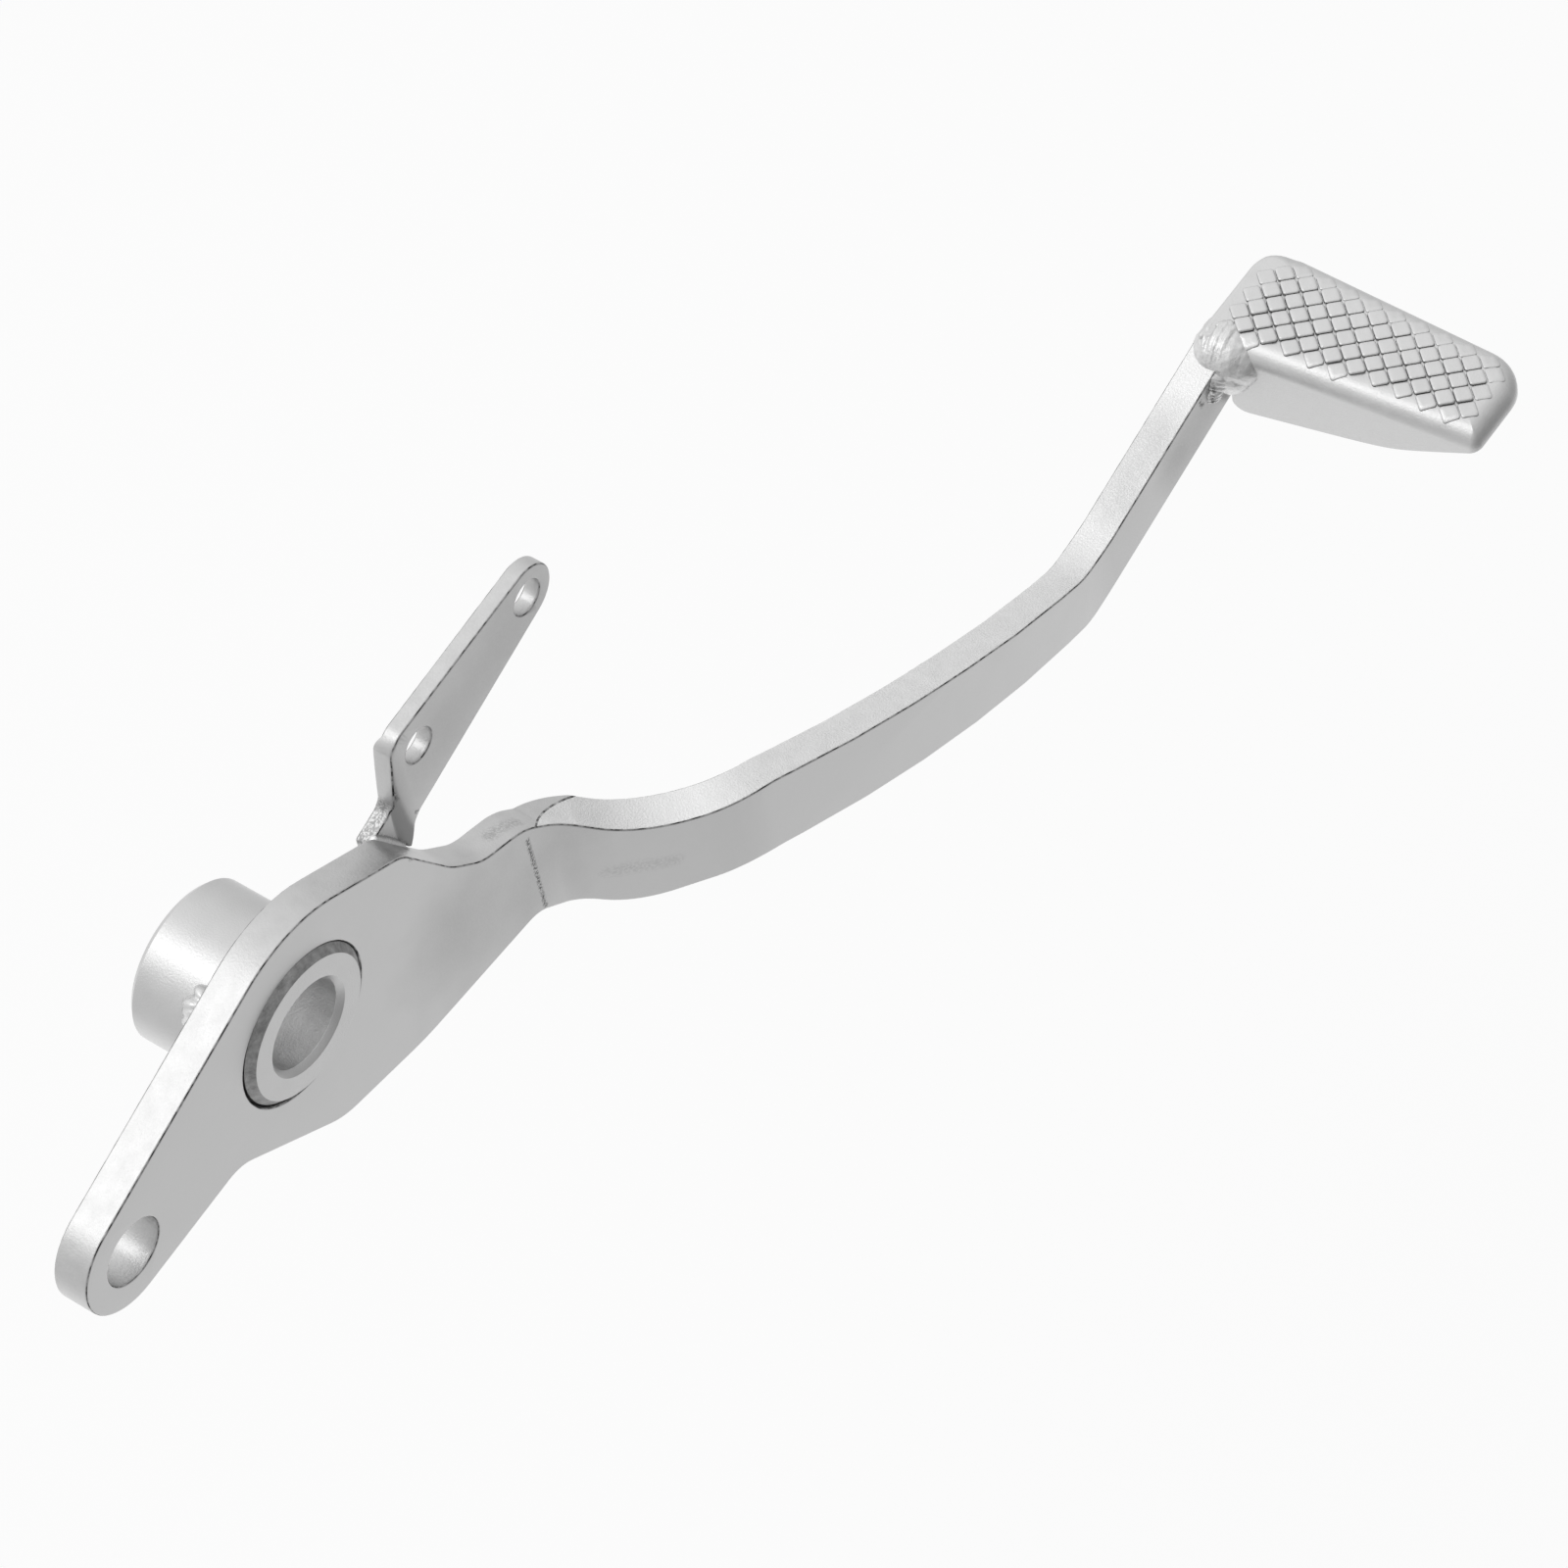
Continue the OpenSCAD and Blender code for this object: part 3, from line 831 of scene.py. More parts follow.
    def floor(self, spot: Vector) -> float:
        """Work out how far down the wall goes.

        Args:
            spot: A point of the outer plan.

        Returns:
            The z of the wall's end there.
        """
        inboard_side = spot.y > self.inboard - 0.5 and spot.x < self.front_x - self.returned
        beside_arm = spot.y > self.arm_side and spot.x < self.rear_at(spot.y) + 2
        if inboard_side or beside_arm:
            return self.top - self.shell - self.skirt
        low = self.lower_edge(spot.y)
        start = self.arm_side - self.notch_r
        if spot.x < self.rear_at(spot.y) + 2 and spot.y > start:
            low += self.notch_r - math.sqrt(max(0.0, self.notch_r ** 2 - (spot.y - start) ** 2))
        return low

    def body(self, mesh: bmesh.types.BMesh) -> None:
        """Lay the shell's outer and inner skins as rings round the plan, and join them.

        Args:
            mesh: The mesh to add to.
        """
        outer = self.plan(0)
        floors = [self.floor(p) for p in outer]
        lip, widening = self.lip_run
        shares = [min(1.0, max(0.0, (self.inboard - lip - p.y) / widening)) for p in outer]
        tops = [self.lip_r + (self.edge_r - self.lip_r) * share for share in shares]
        rings: list[list[bmesh.types.BMVert]] = []
        plans: dict[float, list[Vector]] = {}

        def ring(insets: Sequence[float], heights: Sequence[float]) -> None:
            """Add a ring of vertices.

            Args:
                insets: How far each is drawn in from the outer plan.
                heights: The z of each.
            """
            verts = []
            for i, (inset, z) in enumerate(zip(insets, heights)):
                outline = plans.setdefault(round(inset, 4), self.plan(round(inset, 4)))
                verts.append(mesh.verts.new((*outline[i], z)))
            rings.append(verts)

        steps = [math.radians(a) for a in range(90, -1, -10)]
        for skin, angles in ((0.0, steps), (self.shell, steps[::-1])):
            radii = [max(r - skin, 0.3) for r in tops]
            arcs = []
            for a in angles:
                insets = [skin + r * (1 - math.cos(a)) for r in radii]
                heights = [max(self.top - skin - r * (1 - math.sin(a)), low)
                           for r, low in zip(radii, floors)]
                arcs.append((insets, heights))
            walls = [([skin] * len(outer), floors)]
            for insets, heights in (arcs + walls if skin == 0.0 else walls + arcs):
                ring(insets, heights)
        for one, other in zip(rings, rings[1:]):
            band(mesh, one, other)
        mesh.faces.new(rings[0])
        mesh.faces.new(rings[-1])
        bmesh.ops.remove_doubles(mesh, verts=mesh.verts, dist=0.004)
        bmesh.ops.dissolve_degenerate(mesh, edges=mesh.edges, dist=0.002)
        flat = [f for f in mesh.faces if len(f.verts) > 8]
        bmesh.ops.triangulate(mesh, faces=flat, ngon_method="BEAUTY")
        bmesh.ops.recalc_face_normals(mesh, faces=mesh.faces)

    def press(self, mesh: bmesh.types.BMesh, spot: Vector, height: float, size: float) -> None:
        """Press up one cell, a low pillow on a diamond with rounded corners.

        The band at its foot has the material index 1, the painted shade that outlines the cell.

        Args:
            mesh: The mesh to add to.
            spot: Its centre.
            height: How high it stands.
            size: Its width and length, as a share of the full cell's.
        """
        half_w = (self.cell[0] / 2 - self.groove / math.sqrt(2)) * size
        half_l = (self.cell[1] / 2 - self.groove / math.sqrt(2)) * size
        outline = rounded([Corner(half_w, 0, self.cell_r), Corner(0, half_l, self.cell_r),
                           Corner(-half_w, 0, self.cell_r), Corner(0, -half_l, self.cell_r)], 18)
        rings = []
        for share, rise in self.pillow:
            places = [spot + p * share for p in outline]
            level = self.top + (height * rise if rise > 0 else rise)
            rings.append([mesh.verts.new((q.x, q.y, level - self.sag(q.x, q.y)))
                          for q in places])
        faces = [mesh.faces.new(rings[0][::-1]), mesh.faces.new(rings[-1])]
        for i, (one, other) in enumerate(zip(rings, rings[1:])):
            faces += band(mesh, one, other, 1 if i == 0 else 0)
        bmesh.ops.recalc_face_normals(mesh, faces=faces)

    def edge_distance(self, x: float, y: float) -> float:
        """Measure the room to the nearest edge of the top.

        Args:
            x: The point's x.
            y: The point's y.

        Returns:
            Its distance from that edge, or from the rounded front corner near it.
        """
        found = min(self.front_x - x, x - self.rear_at(y), y - self.tip())
        middle = self.inboard - self.length / 2
        r = self.corner_r[1] if y > middle else self.corner_r[2]
        over = Vector((x - self.front_x + r, abs(y - middle) - self.length / 2 + r))
        return min(found, r - over.length) if min(over) > 0 else found

    def sag(self, x: float, y: float) -> float:
        """Return how far the rounded edge lies below the flat top at a point."""
        over = min(max(0.0, self.edge_r - self.edge_distance(x, y)), self.edge_r)
        return self.edge_r - math.sqrt(self.edge_r ** 2 - over ** 2)

    def cells(self, mesh: bmesh.types.BMesh) -> None:
        """Press up the field of cells, lower towards the rounded edges and the worn front.

        Args:
            mesh: The mesh to add to.
        """
        front, rear, inner, outer = self.margins
        wide, long = self.cell
        for i in range(int(2 * (self.front_x - self.rear_x) / wide) + 1):
            for j in range(int(self.length / long) + 1):
                x = self.front_x - front - i * wide / 2
                y = self.inboard - inner - (j + i % 2 / 2) * long
                room = min(self.front_x - front + 0.5 - x, x - self.rear_at(y) - rear,
                           self.inboard - inner + 0.5 - y, y - self.tip() - outer,
                           self.edge_distance(x, y) - 2.3)
                if room < 0:
                    continue
                beside_edge = min(1.0, 0.35 + room / 3.5)
                beside_front = min(1.0, 0.45 + (self.front_x - x) / 18)
                beside_arm = 1 + 0.4 * max(0.0, 1 - (self.inboard - y) / 22)
                wobble = noise.noise(Vector((x * 0.35, y * 0.35, 3)))
                height = self.cell_h * beside_edge * beside_front * beside_arm
                self.press(mesh, Vector((x, y)), height * (1 + 0.3 * wobble), 1 + 0.03 * wobble)

    def make(self, finishes: Sequence[bpy.types.Material]) -> bpy.types.Object:
        """Build and dress the pad.

        Args:
            finishes: The finishes of the shell and of the painted shade round each cell's foot.

        Returns:
            The pad's object.
        """
        mesh = bmesh.new()
        self.body(mesh)
        self.cells(mesh)
        return piece("pad", mesh, finishes, ["foot_pad"])


@dataclass
class WeldBead:
    """A rippled bead: flat drops laid along a route, each partly over the one before.

    Attributes:
        name: The bead's name.
        routes: Each route's drop thickness, as a share of a drop's width, and then x, y, z and
            radius at each of its points.
        node: The solid that it stands for.
        pitch: The distance between two drops.
        voxel: The size of detail that is kept where the drops melt together.
        close: The share of the pitch that is left between round drops, which form a smooth mass.
    """

    name: str
    routes: list[tuple[float, list[tuple[float, float, float, float]]]]
    node: str
    pitch: float
    voxel: float
    close: float = 0.4

    def drops(self) -> list[tuple[Vector, Vector, float, float]]:
        """Space the drops along the routes, closer where they are round.

        Returns:
            The place, direction, radius and thickness of each.
        """
        found = []
        for flat, route in self.routes:
            pitch = self.pitch * (self.close if flat == 1.0 else 1.0)
            for start, end in zip(route, route[1:]):
                a, b = Vector(start[:3]), Vector(end[:3])
                count = max(1, round((b - a).length / pitch))
                for k in range(count):
                    share = k / count
                    radius = start[3] + (end[3] - start[3]) * share
                    found.append((a.lerp(b, share), (b - a).normalized(), radius, flat))
        return found

    def make(self, finishes: Sequence[bpy.types.Material]) -> bpy.types.Object:
        """Lay the drops and melt them together.

        Args:
            finishes: Its one finish.

        Returns:
            The bead's object.
        """
        mesh = bmesh.new()
        for spot, way, radius, flat in self.drops():
            shake = noise.noise_vector(spot * 1.7) * radius * 0.03
            turn = way.to_track_quat("Z", "Y").to_matrix().to_4x4()
            size = radius * (1 + 0.04 * noise.noise(spot * 2.3))
            place = (Matrix.Translation(spot + shake) @ turn
                     @ Matrix.Diagonal((size, size, size * flat, 1)))
            bmesh.ops.create_icosphere(mesh, subdivisions=3, radius=1.0, matrix=place)
        bead = piece(self.name, mesh, finishes, [self.node], None)
        melt = bead.modifiers.new("melt", "REMESH")
        melt.mode = "VOXEL"
        melt.voxel_size = self.voxel * MM
        melt.use_smooth_shade = True
        return bead


def weld_beads() -> list[WeldBead]:
    """List the three beads.

    Returns:
        The beads round the tube, along the bracket's foot and over the pad's rear corner.
    """
    turns = [math.radians(a) for a in range(0, 361, 10)]
    ring = [(12.9 * math.cos(a), 5.9, 12.9 * math.sin(a), 2.7) for a in turns]
    return [
        WeldBead("tube_bead", [(0.45, ring), (0.5, [
            (-7.6, 9.0, 10.8, 2.2), (-8.8, 9.4, 9.9, 2.7), (-10.2, 8.8, 8.6, 2.7),
            (-11.4, 7.6, 6.8, 2.4)])], "tube_weld", 1.1, 0.22),
        WeldBead("bracket_bead", [(0.6, [
            (26.8, 6.1, 7.6, 0.8), (28.6, 6.1, 4.7, 1.0), (31.4, 5.9, -0.2, 0.8)])],
            "bracket_weld", 0.6, 0.12),
        WeldBead("pad_bead", [
            (1.0, [(209.0, -16.2, -74.4, 4.8), (208.6, -14.6, -74.1, 5.4),
                   (208.2, -13.0, -74.2, 5.3)]),
            (1.0, [(207.4, -15.4, -75.8, 4.3), (207.1, -15.2, -77.8, 3.2),
                   (207.9, -15.4, -79.6, 2.1)]),
            (0.3, [(208.8, -15.0, -73.8, 5.6), (208.6, -12.2, -74.1, 5.5),
                   (208.3, -10.7, -74.6, 5.0)]),
            (0.4, [(204.4, -13.6, -75.6, 3.4), (202.8, -13.8, -77.2, 2.6),
                   (202.2, -14.2, -79.4, 1.8)])],
            "pad_weld", 0.72, 0.15)]


def add_node(tree: bpy.types.NodeTree, kind: str, settings: dict[str | int, object] | None = None,
             wires: dict[str | int, bpy.types.NodeSocket] | None = None) -> bpy.types.Node:
    """Add a node, set it up and wire its inputs.

    Args:
        tree: The tree to add to.
        kind: The node's type.
        settings: Its own options by name, and the values of its inputs by name or index.
        wires: The sockets that feed its inputs.

    Returns:
        The node.
    """
    node = tree.nodes.new(kind)
    for key, value in (settings or {}).items():
        if isinstance(key, str) and hasattr(node, key):
            setattr(node, key, value)
        else:
            node.inputs[key].default_value = value
    for key, socket in (wires or {}).items():
        tree.links.new(socket, node.inputs[key])
    return node


class Stroke(NamedTuple):
    """A dark mark along a straight line, in millimetres.

    Attributes:
        start: Where it starts.
        end: Where it ends.
        width: How far it reaches to each side.
        strength: How dark its middle is, from 0 to 1.
    """

    start: tuple[float, float, float]
    end: tuple[float, float, float]
    width: float
    strength: float

    def least(self) -> float:
        """Return the share of a line or a cloud that is left between the grains."""
        return 0.1 if self.width < 4 else 0.85


def stroke_mask(tree: bpy.types.NodeTree, place: bpy.types.NodeSocket,
                stroke: Stroke) -> bpy.types.NodeSocket:
    """Work out where a mark lies.

    Args:
        tree: The material's tree.
        place: The object coordinates.
        stroke: The mark.

    Returns:
        Its strength along the middle, fading to 0 at its width.
    """
    start = Vector(stroke.start) * MM
    run = Vector(stroke.end) * MM - start
    gap = add_node(tree, "ShaderNodeVectorMath", {"operation": "SUBTRACT", 1: start}, {0: place})
    along = add_node(tree, "ShaderNodeVectorMath", {
        "operation": "DOT_PRODUCT", 1: run / run.length_squared}, {0: gap.outputs["Vector"]})
    held = add_node(tree, "ShaderNodeClamp", None, {"Value": along.outputs["Value"]})
    reach = add_node(tree, "ShaderNodeVectorMath", {"operation": "SCALE", 0: run},
                     {"Scale": held.outputs["Result"]})
    aside = add_node(tree, "ShaderNodeVectorMath", {"operation": "DISTANCE"},
                     {0: gap.outputs["Vector"], 1: reach.outputs["Vector"]})
    mask = add_node(tree, "ShaderNodeMapRange", {
        "interpolation_type": "SMOOTHSTEP", "From Min": 0.0, "From Max": stroke.width * MM,
        "To Min": stroke.strength, "To Max": 0.0}, {"Value": aside.outputs["Value"]})
    return mask.outputs["Result"]


@dataclass(frozen=True)
class Zinc:
    """Bright zinc plating over steel, which shows the surface that it covers.

    The real finish gives the eye a soft, grey metal with a fine sparkle where a highlight ends
    and faint clouds from the rolled sheet. Dark marks are painted on it: some are painted shade,
    beside the joggle, on the arm under the pad and at the step by the pad's bead, and the others
    are hairlines, scuffs, pits, pinholes and darker lines along folds, edges and beads. Its real
    grain is about 0.1 mm, too fine to show, so it is drawn three to five times as coarse.

    Attributes:
        name: The material's name, after how the steel under it was made.
        colour: The plating's colour, in sRGB hex.
        dull: Its colour in dark spots and marks.
        roughness: How matt it is.
        grain_mm: The size of the fine grain, in millimetres.
        grain_depth_mm: The height of that grain.
        cloud_mm: The size of the clouds.
        cloud: How much they change the roughness.
        spots: How much of the surface the dull colour takes, from 0 to 1.
        blur: How softly the dull colour ends, from 0 to 1.
        marks: Dark marks on it, some of them painted shade.
    """

    name: str
    colour: str
    dull: str
    roughness: float
    grain_mm: float
    grain_depth_mm: float
    cloud_mm: float
    cloud: float
    spots: float = 0.1
    blur: float = 0.5
    marks: tuple[Stroke, ...] = ()

    def material(self) -> bpy.types.Material:
        """Build the material.

        Returns:
            The material.
        """
        material = bpy.data.materials.new(self.name)
        material.use_nodes = True
        tree = material.node_tree
        tree.nodes.clear()
        place = add_node(tree, "ShaderNodeTexCoord").outputs["Object"]
        grain = add_node(tree, "ShaderNodeTexNoise", {
            "Scale": 1 / (self.grain_mm * MM), "Detail": 3.0, "Roughness": 0.65},
            {"Vector": place}).outputs["Fac"]
        cloud = add_node(tree, "ShaderNodeTexNoise", {
            "Scale": 1 / (self.cloud_mm * MM), "Detail": 5.0, "Roughness": 0.6},
            {"Vector": place}).outputs["Fac"]
        rough = add_node(tree, "ShaderNodeMapRange", {
            "From Min": 0.3, "From Max": 0.7, "To Min": self.roughness - self.cloud,
            "To Max": self.roughness + self.cloud}, {"Value": cloud})
        dark = add_node(tree, "ShaderNodeMapRange", {
            "From Min": 0.5 - self.blur / 2, "From Max": 0.5 + self.blur / 2,
            "To Min": self.spots * 2, "To Max": 0.0}, {"Value": cloud}).outputs["Result"]
        for mark in self.marks:
            broken = add_node(tree, "ShaderNodeMapRange", {
                "From Min": 0.4, "From Max": 0.56, "To Min": mark.least(), "To Max": 1.0},
                {"Value": grain})
            shape = add_node(tree, "ShaderNodeMath", {"operation": "MULTIPLY"}, {
                0: stroke_mask(tree, place, mark), 1: broken.outputs["Result"]})
            dark = add_node(tree, "ShaderNodeMath", {"operation": "MAXIMUM"}, {
                0: dark, 1: shape.outputs["Value"]}).outputs["Value"]
        tint = add_node(tree, "ShaderNodeMix", {
            "data_type": "RGBA", 6: srgb(self.colour), 7: srgb(self.dull)}, {"Factor": dark})
        bump = add_node(tree, "ShaderNodeBump", {
            "Strength": 1.0, "Distance": self.grain_depth_mm * MM}, {"Height": grain})
        shader = add_node(tree, "ShaderNodeBsdfPrincipled", {"Metallic": 1.0}, {
            "Base Color": tint.outputs[2], "Roughness": rough.outputs["Result"],
            "Normal": bump.outputs["Normal"]})
        add_node(tree, "ShaderNodeOutputMaterial", None, {"Surface": shader.outputs["BSDF"]})
        return material


PLATE_MARKS_AND_SHADE = (
    Stroke((49.3, 0.0, -18.0), (49.3, 0.0, -36.2), 0.95, 1.0),
    Stroke((158.3, -16.3, -71.3), (161.8, -15.8, -78.8), 0.5, 0.7),
    Stroke((60.0, -3.2, -38.6), (68.0, -9.6, -41.0), 3.0, 0.2),
    # painted shade: a broad soft darkening of the plate beside the joggle
    Stroke((32.0, 0.0, -18.0), (47.0, 0.0, -28.0), 24.0, 0.26),
    # painted shade: the arm's face darkened where it runs under the pad
    Stroke((192.0, -14.9, -82.0), (203.0, -14.9, -78.0), 12.0, 0.33),
    Stroke((36.0, 4.1, 16.0), (64.0, 4.1, 21.0), 16.0, 0.22),
    Stroke((198.6, -14.9, -75.5), (199.2, -14.9, -77.0), 1.2, 1.0),
    Stroke((31.8, 5.2, 14.6), (32.1, 4.9, 11.8), 0.8, 1.0),
    Stroke((34.3, 4.1, 6.8), (34.4, 4.1, 6.6), 0.7, 1.0),
    Stroke((27.4, 6.0, 7.0), (31.8, 6.0, -1.0), 1.6, 1.0),
    Stroke((27.4, 0.2, 6.7), (27.9, 0.2, 6.4), 0.8, 1.0))
EDGE_MARKS = (
    Stroke((25.6, 7.4, 7.4), (31.0, 7.4, 9.2), 3.4, 0.7),
    Stroke((26.4, 6.0, 8.2), (31.8, 6.0, -1.0), 1.4, 1.0),
    Stroke((45.0, 3.0, -13.2), (50.0, 2.4, -16.4), 2.2, 0.4))
TORN_MARKS = (
    Stroke((178.0, -13.0, -79.4), (190.0, -12.0, -76.4), 12.0, 0.36),)
BEAD_MARKS_AND_SHADOW = (
    # painted shadow: the dark line where the bead meets the arm's top strip
    Stroke((201.6, -15.4, -74.0), (201.2, -15.6, -79.0), 1.0, 1.0),
    Stroke((205.0, -13.6, -71.2), (202.4, -12.4, -73.0), 2.4, 0.35))

# Rolled plate keeps its mill surface: an even grey with faint clouds, hairlines in the folds, a
# pit, pinholes, dark lines beside the bracket's bead and a broad darker patch on the bracket's
# leaf. Broad painted shade darkens the plate beside the joggle and the arm under the pad.
ROLLED = Zinc("zinc_on_rolled_plate", "D2D2D2", "5A5A5A", roughness=0.38, grain_mm=0.45,
              grain_depth_mm=0.012, cloud_mm=9.0, cloud=0.03, spots=0.05, marks=PLATE_MARKS_AND_SHADE)
# Shearing leaves a slightly pitted edge, whose glints are broken.
SHEARED = Zinc("zinc_on_sheared_edge", "D0D0D0", "606060", roughness=0.4, grain_mm=0.4,
               grain_depth_mm=0.05, cloud_mm=2.5, cloud=0.06, spots=0.08, marks=EDGE_MARKS)
# Where the edge tore off, it is coarse, and its pale colour is painted sheen that gives the strip
# its white sparkle.
TORN = Zinc("torn_edge_with_painted_sheen", "EEEEEE", "8A8A8A", roughness=0.42, grain_mm=0.35,
            grain_depth_mm=0.14, cloud_mm=2.5, cloud=0.06, spots=0.06, marks=TORN_MARKS)
# The rim band is painted as a dark, broken hairline along the cut edges.
RIM = Zinc("zinc_with_dark_rim_line", "C4C4C4", "262626", roughness=0.5, grain_mm=0.5,
           grain_depth_mm=0.05, cloud_mm=1.8, cloud=0.05, spots=0.52, blur=0.2)
# Painted shade at the foot of each pressed cell draws its outline.
CELL_FOOT_SHADE = Zinc("painted_shade_beside_cells", "7A7A7A", "404040", roughness=0.5, grain_mm=0.5,
            grain_depth_mm=0.05, cloud_mm=3.0, cloud=0.05, spots=0.3)
# Turned steel is smooth under its zinc, with one soft streak of light along the tube.
TURNED = Zinc("zinc_on_turned_tube", "D0D0D0", "8A8A8A", roughness=0.36, grain_mm=0.35,
              grain_depth_mm=0.045, cloud_mm=4.0, cloud=0.04, spots=0.06)
# A rough chamfer, coloured darker than the faces beside it.
CHAMFER = Zinc("zinc_on_rough_chamfer", "BEBEBE", "606060", roughness=0.45, grain_mm=0.45,
               grain_depth_mm=0.12, cloud_mm=1.5, cloud=0.05, spots=0.4)
# The drilled bore is matt and pale where it catches light.
BORE = Zinc("zinc_in_bore", "F0F0F0", "808080", roughness=0.42, grain_mm=0.4,
            grain_depth_mm=0.08, cloud_mm=4.0, cloud=0.05, spots=0.15)
# Pressing stretches the sheet, which turns a little coarse and bright.
PRESSED = Zinc("zinc_on_pressed_sheet", "D8D8D8", "8A8A8A", roughness=0.36, grain_mm=0.3,
               grain_depth_mm=0.055, cloud_mm=3.5, cloud=0.05, spots=0.08)
# Weld metal is glossy between its ripples, with dull spots here and there, a faint darker patch
# and a painted shadow line where the pad's bead meets the arm's top strip.
BEAD = Zinc("zinc_on_weld_bead", "E8E8E8", "505050", roughness=0.32, grain_mm=0.45,
            grain_depth_mm=0.09, cloud_mm=1.5, cloud=0.06, spots=0.15, marks=BEAD_MARKS_AND_SHADOW)


@dataclass
class Studio:
    """The floor, the lamp, the sky and the camera, in metres.

    Attributes:
        floor_z: The height of the floor.
        floor_r: Its radius.
        floor_glow: The share of it that is pure white to the camera, so that its shadow is soft.
        walls: The strength of the light from the sides: a base, and what y and z add.
        ground: The strength of the light from below: a base, and what x and y add.
        horizon: The z of the directions between which the walls turn into the ground.
        lamp_way: The direction from the pedal to the lamp.
        lamp_distance: How far away it hangs.
        lamp_side: The length of its side.
        lamp_watts: Its power.
        pedal_middle: Where it points.
        camera_at: Where the camera stands.
        camera_right: The direction to the right in its picture.
        camera_back: The direction from the pedal to it.
        focal_px: Its focal length in pixels of the photograph.
        frame_px: The photograph's width in pixels.
        sensor_mm: The width of its sensor, in millimetres.
    """

    floor_z: float = -0.22
    floor_r: float = 4.0
    floor_glow: float = 0.8
    walls: tuple[float, float, float] = (0.64, 0.35, 0.35)
    ground: tuple[float, float, float] = (1.04, 0.15, 0.36)
    horizon: tuple[float, float] = (-0.5, -0.85)
    lamp_way: tuple[float, float, float] = (-0.42, 0.4, 0.81)
    lamp_distance: float = 1.3
    lamp_side: float = 0.7
    lamp_watts: float = 2.0
    pedal_middle: tuple[float, float, float] = (0.08, 0.0, -0.04)
    camera_at: tuple[float, float, float] = (-0.3135, -0.4295, 0.8195)
    camera_right: tuple[float, float, float] = (0.5753, -0.809, -0.1206)
    camera_back: tuple[float, float, float] = (-0.3874, -0.3994, 0.8309)
    focal_px: float = 7000.0
    frame_px: float = 1600.0
    sensor_mm: float = 36.0

    def floor(self) -> bpy.types.Object:
        """Lay the pale floor, white to the camera apart from the shadow on it.

        Returns:
            The floor.
        """
        mesh = bmesh.new()
        bmesh.ops.create_circle(mesh, cap_ends=True, segments=64, radius=self.floor_r,
                                matrix=Matrix.Translation((0, 0, self.floor_z)))
        data = bpy.data.meshes.new("floor")
        mesh.to_mesh(data)
        mesh.free()
        floor = bpy.data.objects.new("floor", data)
        bpy.context.scene.collection.objects.link(floor)
        material = bpy.data.materials.new("white_paper")
        material.use_nodes = True
        tree = material.node_tree
        tree.nodes.clear()
        paper = add_node(tree, "ShaderNodeBsdfDiffuse", {"Color": srgb("F2F2F2")})
        glow = add_node(tree, "ShaderNodeEmission", {"Color": srgb("FFFFFF"), "Strength": 1.0})
        path = add_node(tree, "ShaderNodeLightPath")
        share = add_node(tree, "ShaderNodeMath", {"operation": "MULTIPLY", 1: self.floor_glow},
                         {0: path.outputs["Is Camera Ray"]})
        mixed = add_node(tree, "ShaderNodeMixShader", None, {
            "Fac": share.outputs["Value"], 1: paper.outputs["BSDF"], 2: glow.outputs["Emission"]})
        add_node(tree, "ShaderNodeOutputMaterial", None, {"Surface": mixed.outputs["Shader"]})
        data.materials.append(material)
        floor.visible_glossy = False
        return floor

    def sky(self) -> None:
        """Light everything from a pale room, white to the camera."""
        world = bpy.data.worlds.new("studio")
        bpy.context.scene.world = world
        world.use_nodes = True
        tree = world.node_tree
        tree.nodes.clear()
        way = add_node(tree, "ShaderNodeTexCoord").outputs["Generated"]
        axes = add_node(tree, "ShaderNodeSeparateXYZ", None, {"Vector": way})
        x, y, z = axes.outputs["X"], axes.outputs["Y"], axes.outputs["Z"]

        def mixed(parts: tuple[float, float, float], one: bpy.types.NodeSocket,
                  other: bpy.types.NodeSocket) -> bpy.types.NodeSocket:
            """Add up a base and two sockets.

            Args:
                parts: The base and the factor of each socket.
                one: The first socket.
                other: The second socket.

            Returns:
                The socket that holds the sum.
            """
            base, first, second = parts
            some = add_node(tree, "ShaderNodeMath",
                            {"operation": "MULTIPLY_ADD", 1: first, 2: base}, {0: one})
            total = add_node(tree, "ShaderNodeMath", {"operation": "MULTIPLY_ADD", 1: second},
                             {0: other, 2: some.outputs["Value"]})
            return total.outputs["Value"]

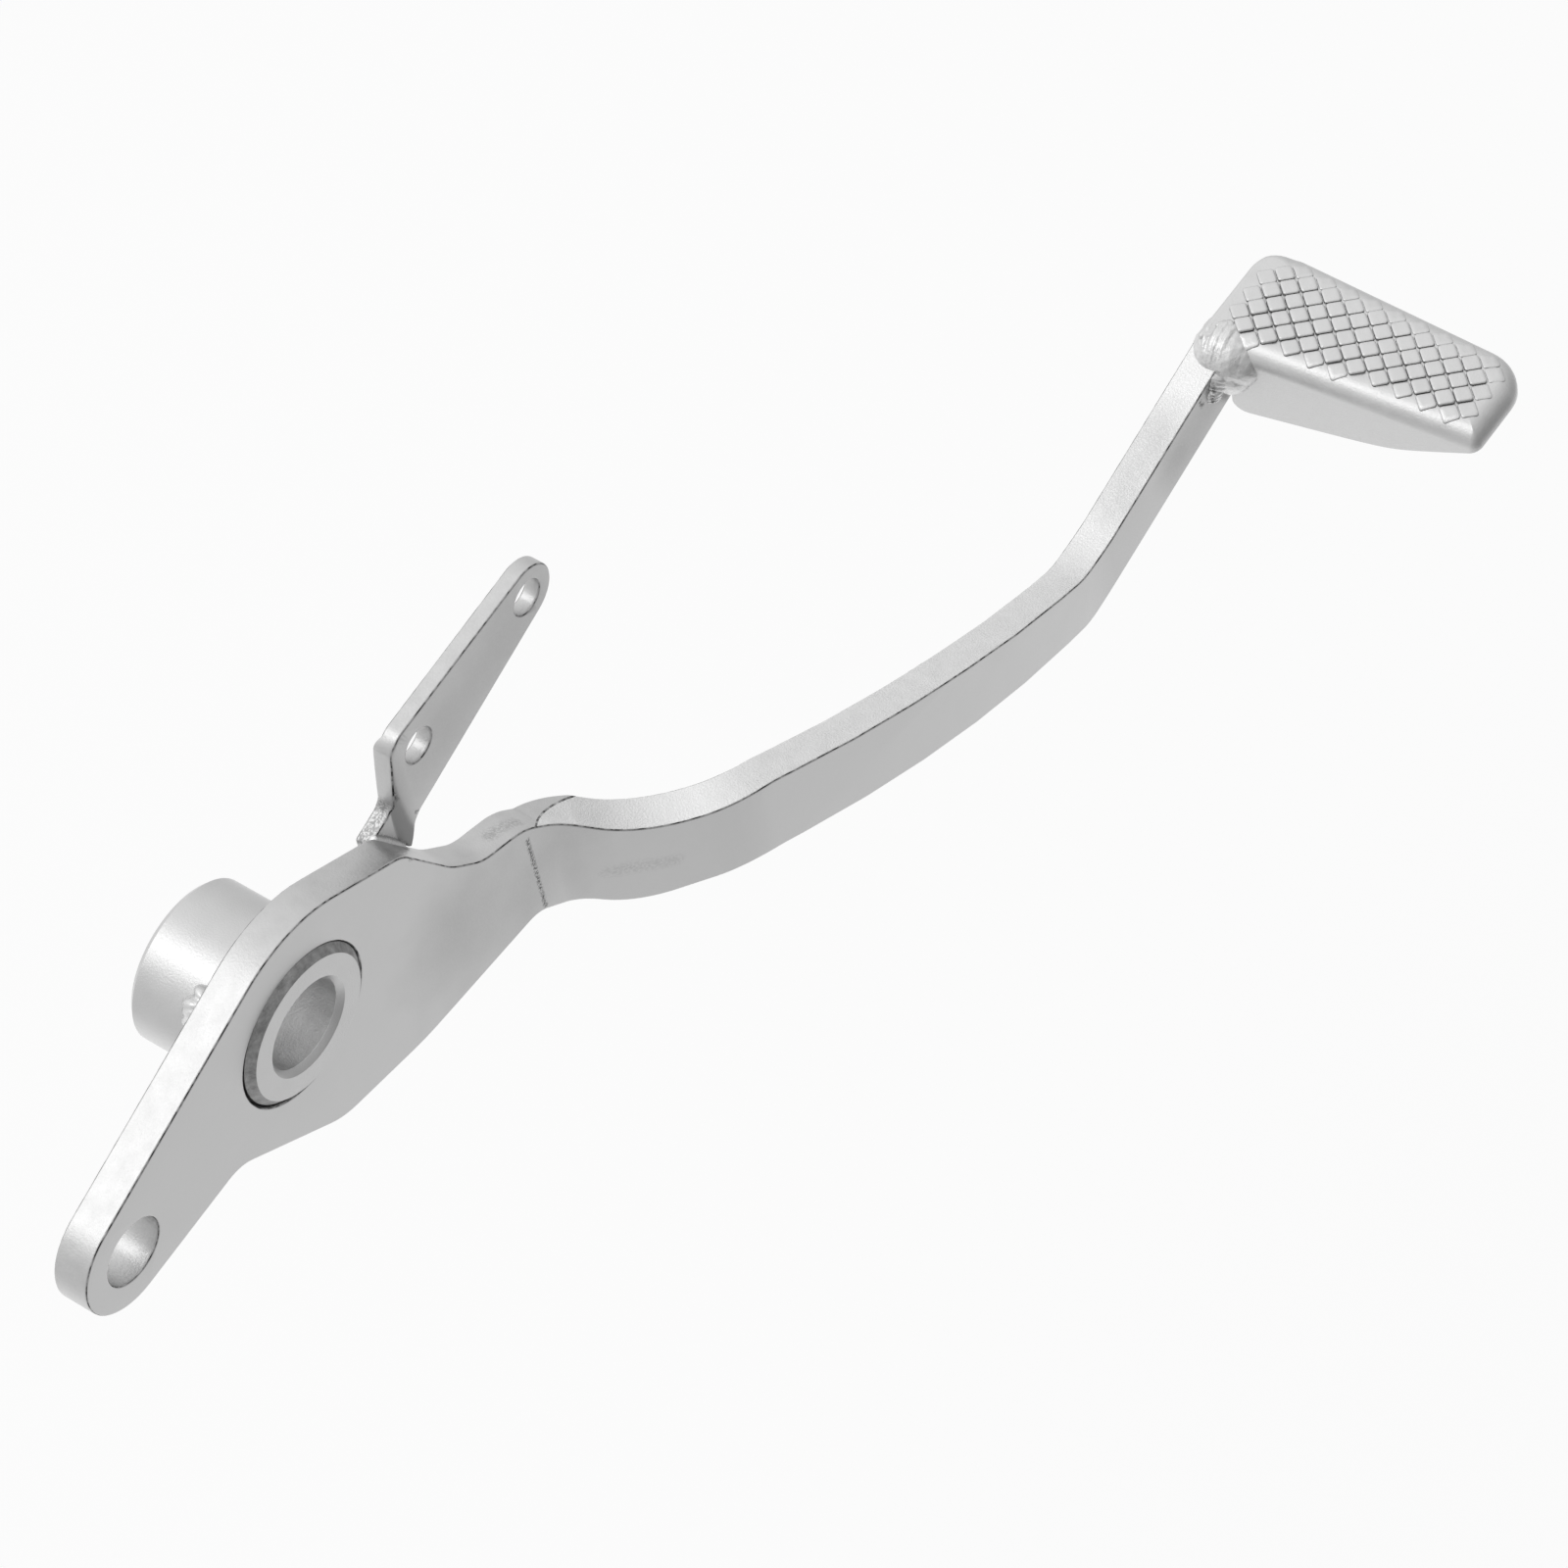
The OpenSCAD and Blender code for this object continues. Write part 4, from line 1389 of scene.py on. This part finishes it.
        above = add_node(tree, "ShaderNodeMath", {"operation": "MAXIMUM", 1: 0.0}, {0: z})
        walls = mixed(self.walls, y, above.outputs["Value"])
        ground = mixed(self.ground, x, y)
        down = add_node(tree, "ShaderNodeMapRange", {
            "interpolation_type": "SMOOTHSTEP", "From Min": self.horizon[0],
            "From Max": self.horizon[1], "To Min": 0.0, "To Max": 1.0}, {"Value": z})
        level = add_node(tree, "ShaderNodeMix", {"data_type": "FLOAT"}, {
            "Factor": down.outputs["Result"], 2: walls, 3: ground})
        path = add_node(tree, "ShaderNodeLightPath")
        seen = add_node(tree, "ShaderNodeMix", {"data_type": "FLOAT", 3: 1.0}, {
            "Factor": path.outputs["Is Camera Ray"], 2: level.outputs["Result"]})
        light = add_node(tree, "ShaderNodeBackground", {"Color": srgb("FFFFFF")},
                         {"Strength": seen.outputs["Result"]})
        add_node(tree, "ShaderNodeOutputWorld", None, {"Surface": light.outputs["Background"]})

    def softbox(self) -> None:
        """Hang the square soft lamp that faces the pedal from behind."""
        lamp = bpy.data.lights.new("rear_softbox", "AREA")
        lamp.shape = "SQUARE"
        lamp.size = self.lamp_side
        lamp.energy = self.lamp_watts
        way = Vector(self.lamp_way)
        obj = bpy.data.objects.new("rear_softbox", lamp)
        obj.rotation_euler = way.to_track_quat("Z", "Y").to_euler()
        obj.location = way.normalized() * self.lamp_distance + Vector(self.pedal_middle)
        bpy.context.scene.collection.objects.link(obj)

    def camera(self) -> None:
        """Set up the camera at the photograph's viewing angle."""
        data = bpy.data.cameras.new("camera")
        data.sensor_width = self.sensor_mm
        data.lens = self.focal_px / self.frame_px * self.sensor_mm
        data.clip_start = 0.05
        camera = bpy.data.objects.new("camera", data)
        back = Vector(self.camera_back).normalized()
        right = Vector(self.camera_right)
        right = (right - back * right.dot(back)).normalized()
        axes = Matrix((right, back.cross(right), back)).transposed().to_4x4()
        camera.matrix_world = Matrix.Translation(Vector(self.camera_at)) @ axes
        bpy.context.scene.collection.objects.link(camera)
        bpy.context.scene.camera = camera

    def build(self) -> None:
        """Set up floor, light and camera."""
        self.floor()
        self.sky()
        self.softbox()
        self.camera()
        bpy.context.scene.view_settings.view_transform = "Standard"


def main() -> None:
    """Build the pedal's pieces in order, then the studio."""
    logging.basicConfig(level=logging.INFO, format="%(name)s: %(message)s")
    noise.seed_set(DROP_SEED)
    steel = [finish.material() for finish in (ROLLED, SHEARED, RIM, TORN)]
    LeverPlate().make(steel)
    SwitchBracket().make(steel)
    PivotTube().make([finish.material() for finish in (TURNED, CHAMFER, BORE)])
    FootPad().make([PRESSED.material(), CELL_FOOT_SHADE.material()])
    weld_metal = BEAD.material()
    for bead in weld_beads():
        bead.make([weld_metal])
    Studio().build()


if __name__ == "__main__":
    main()
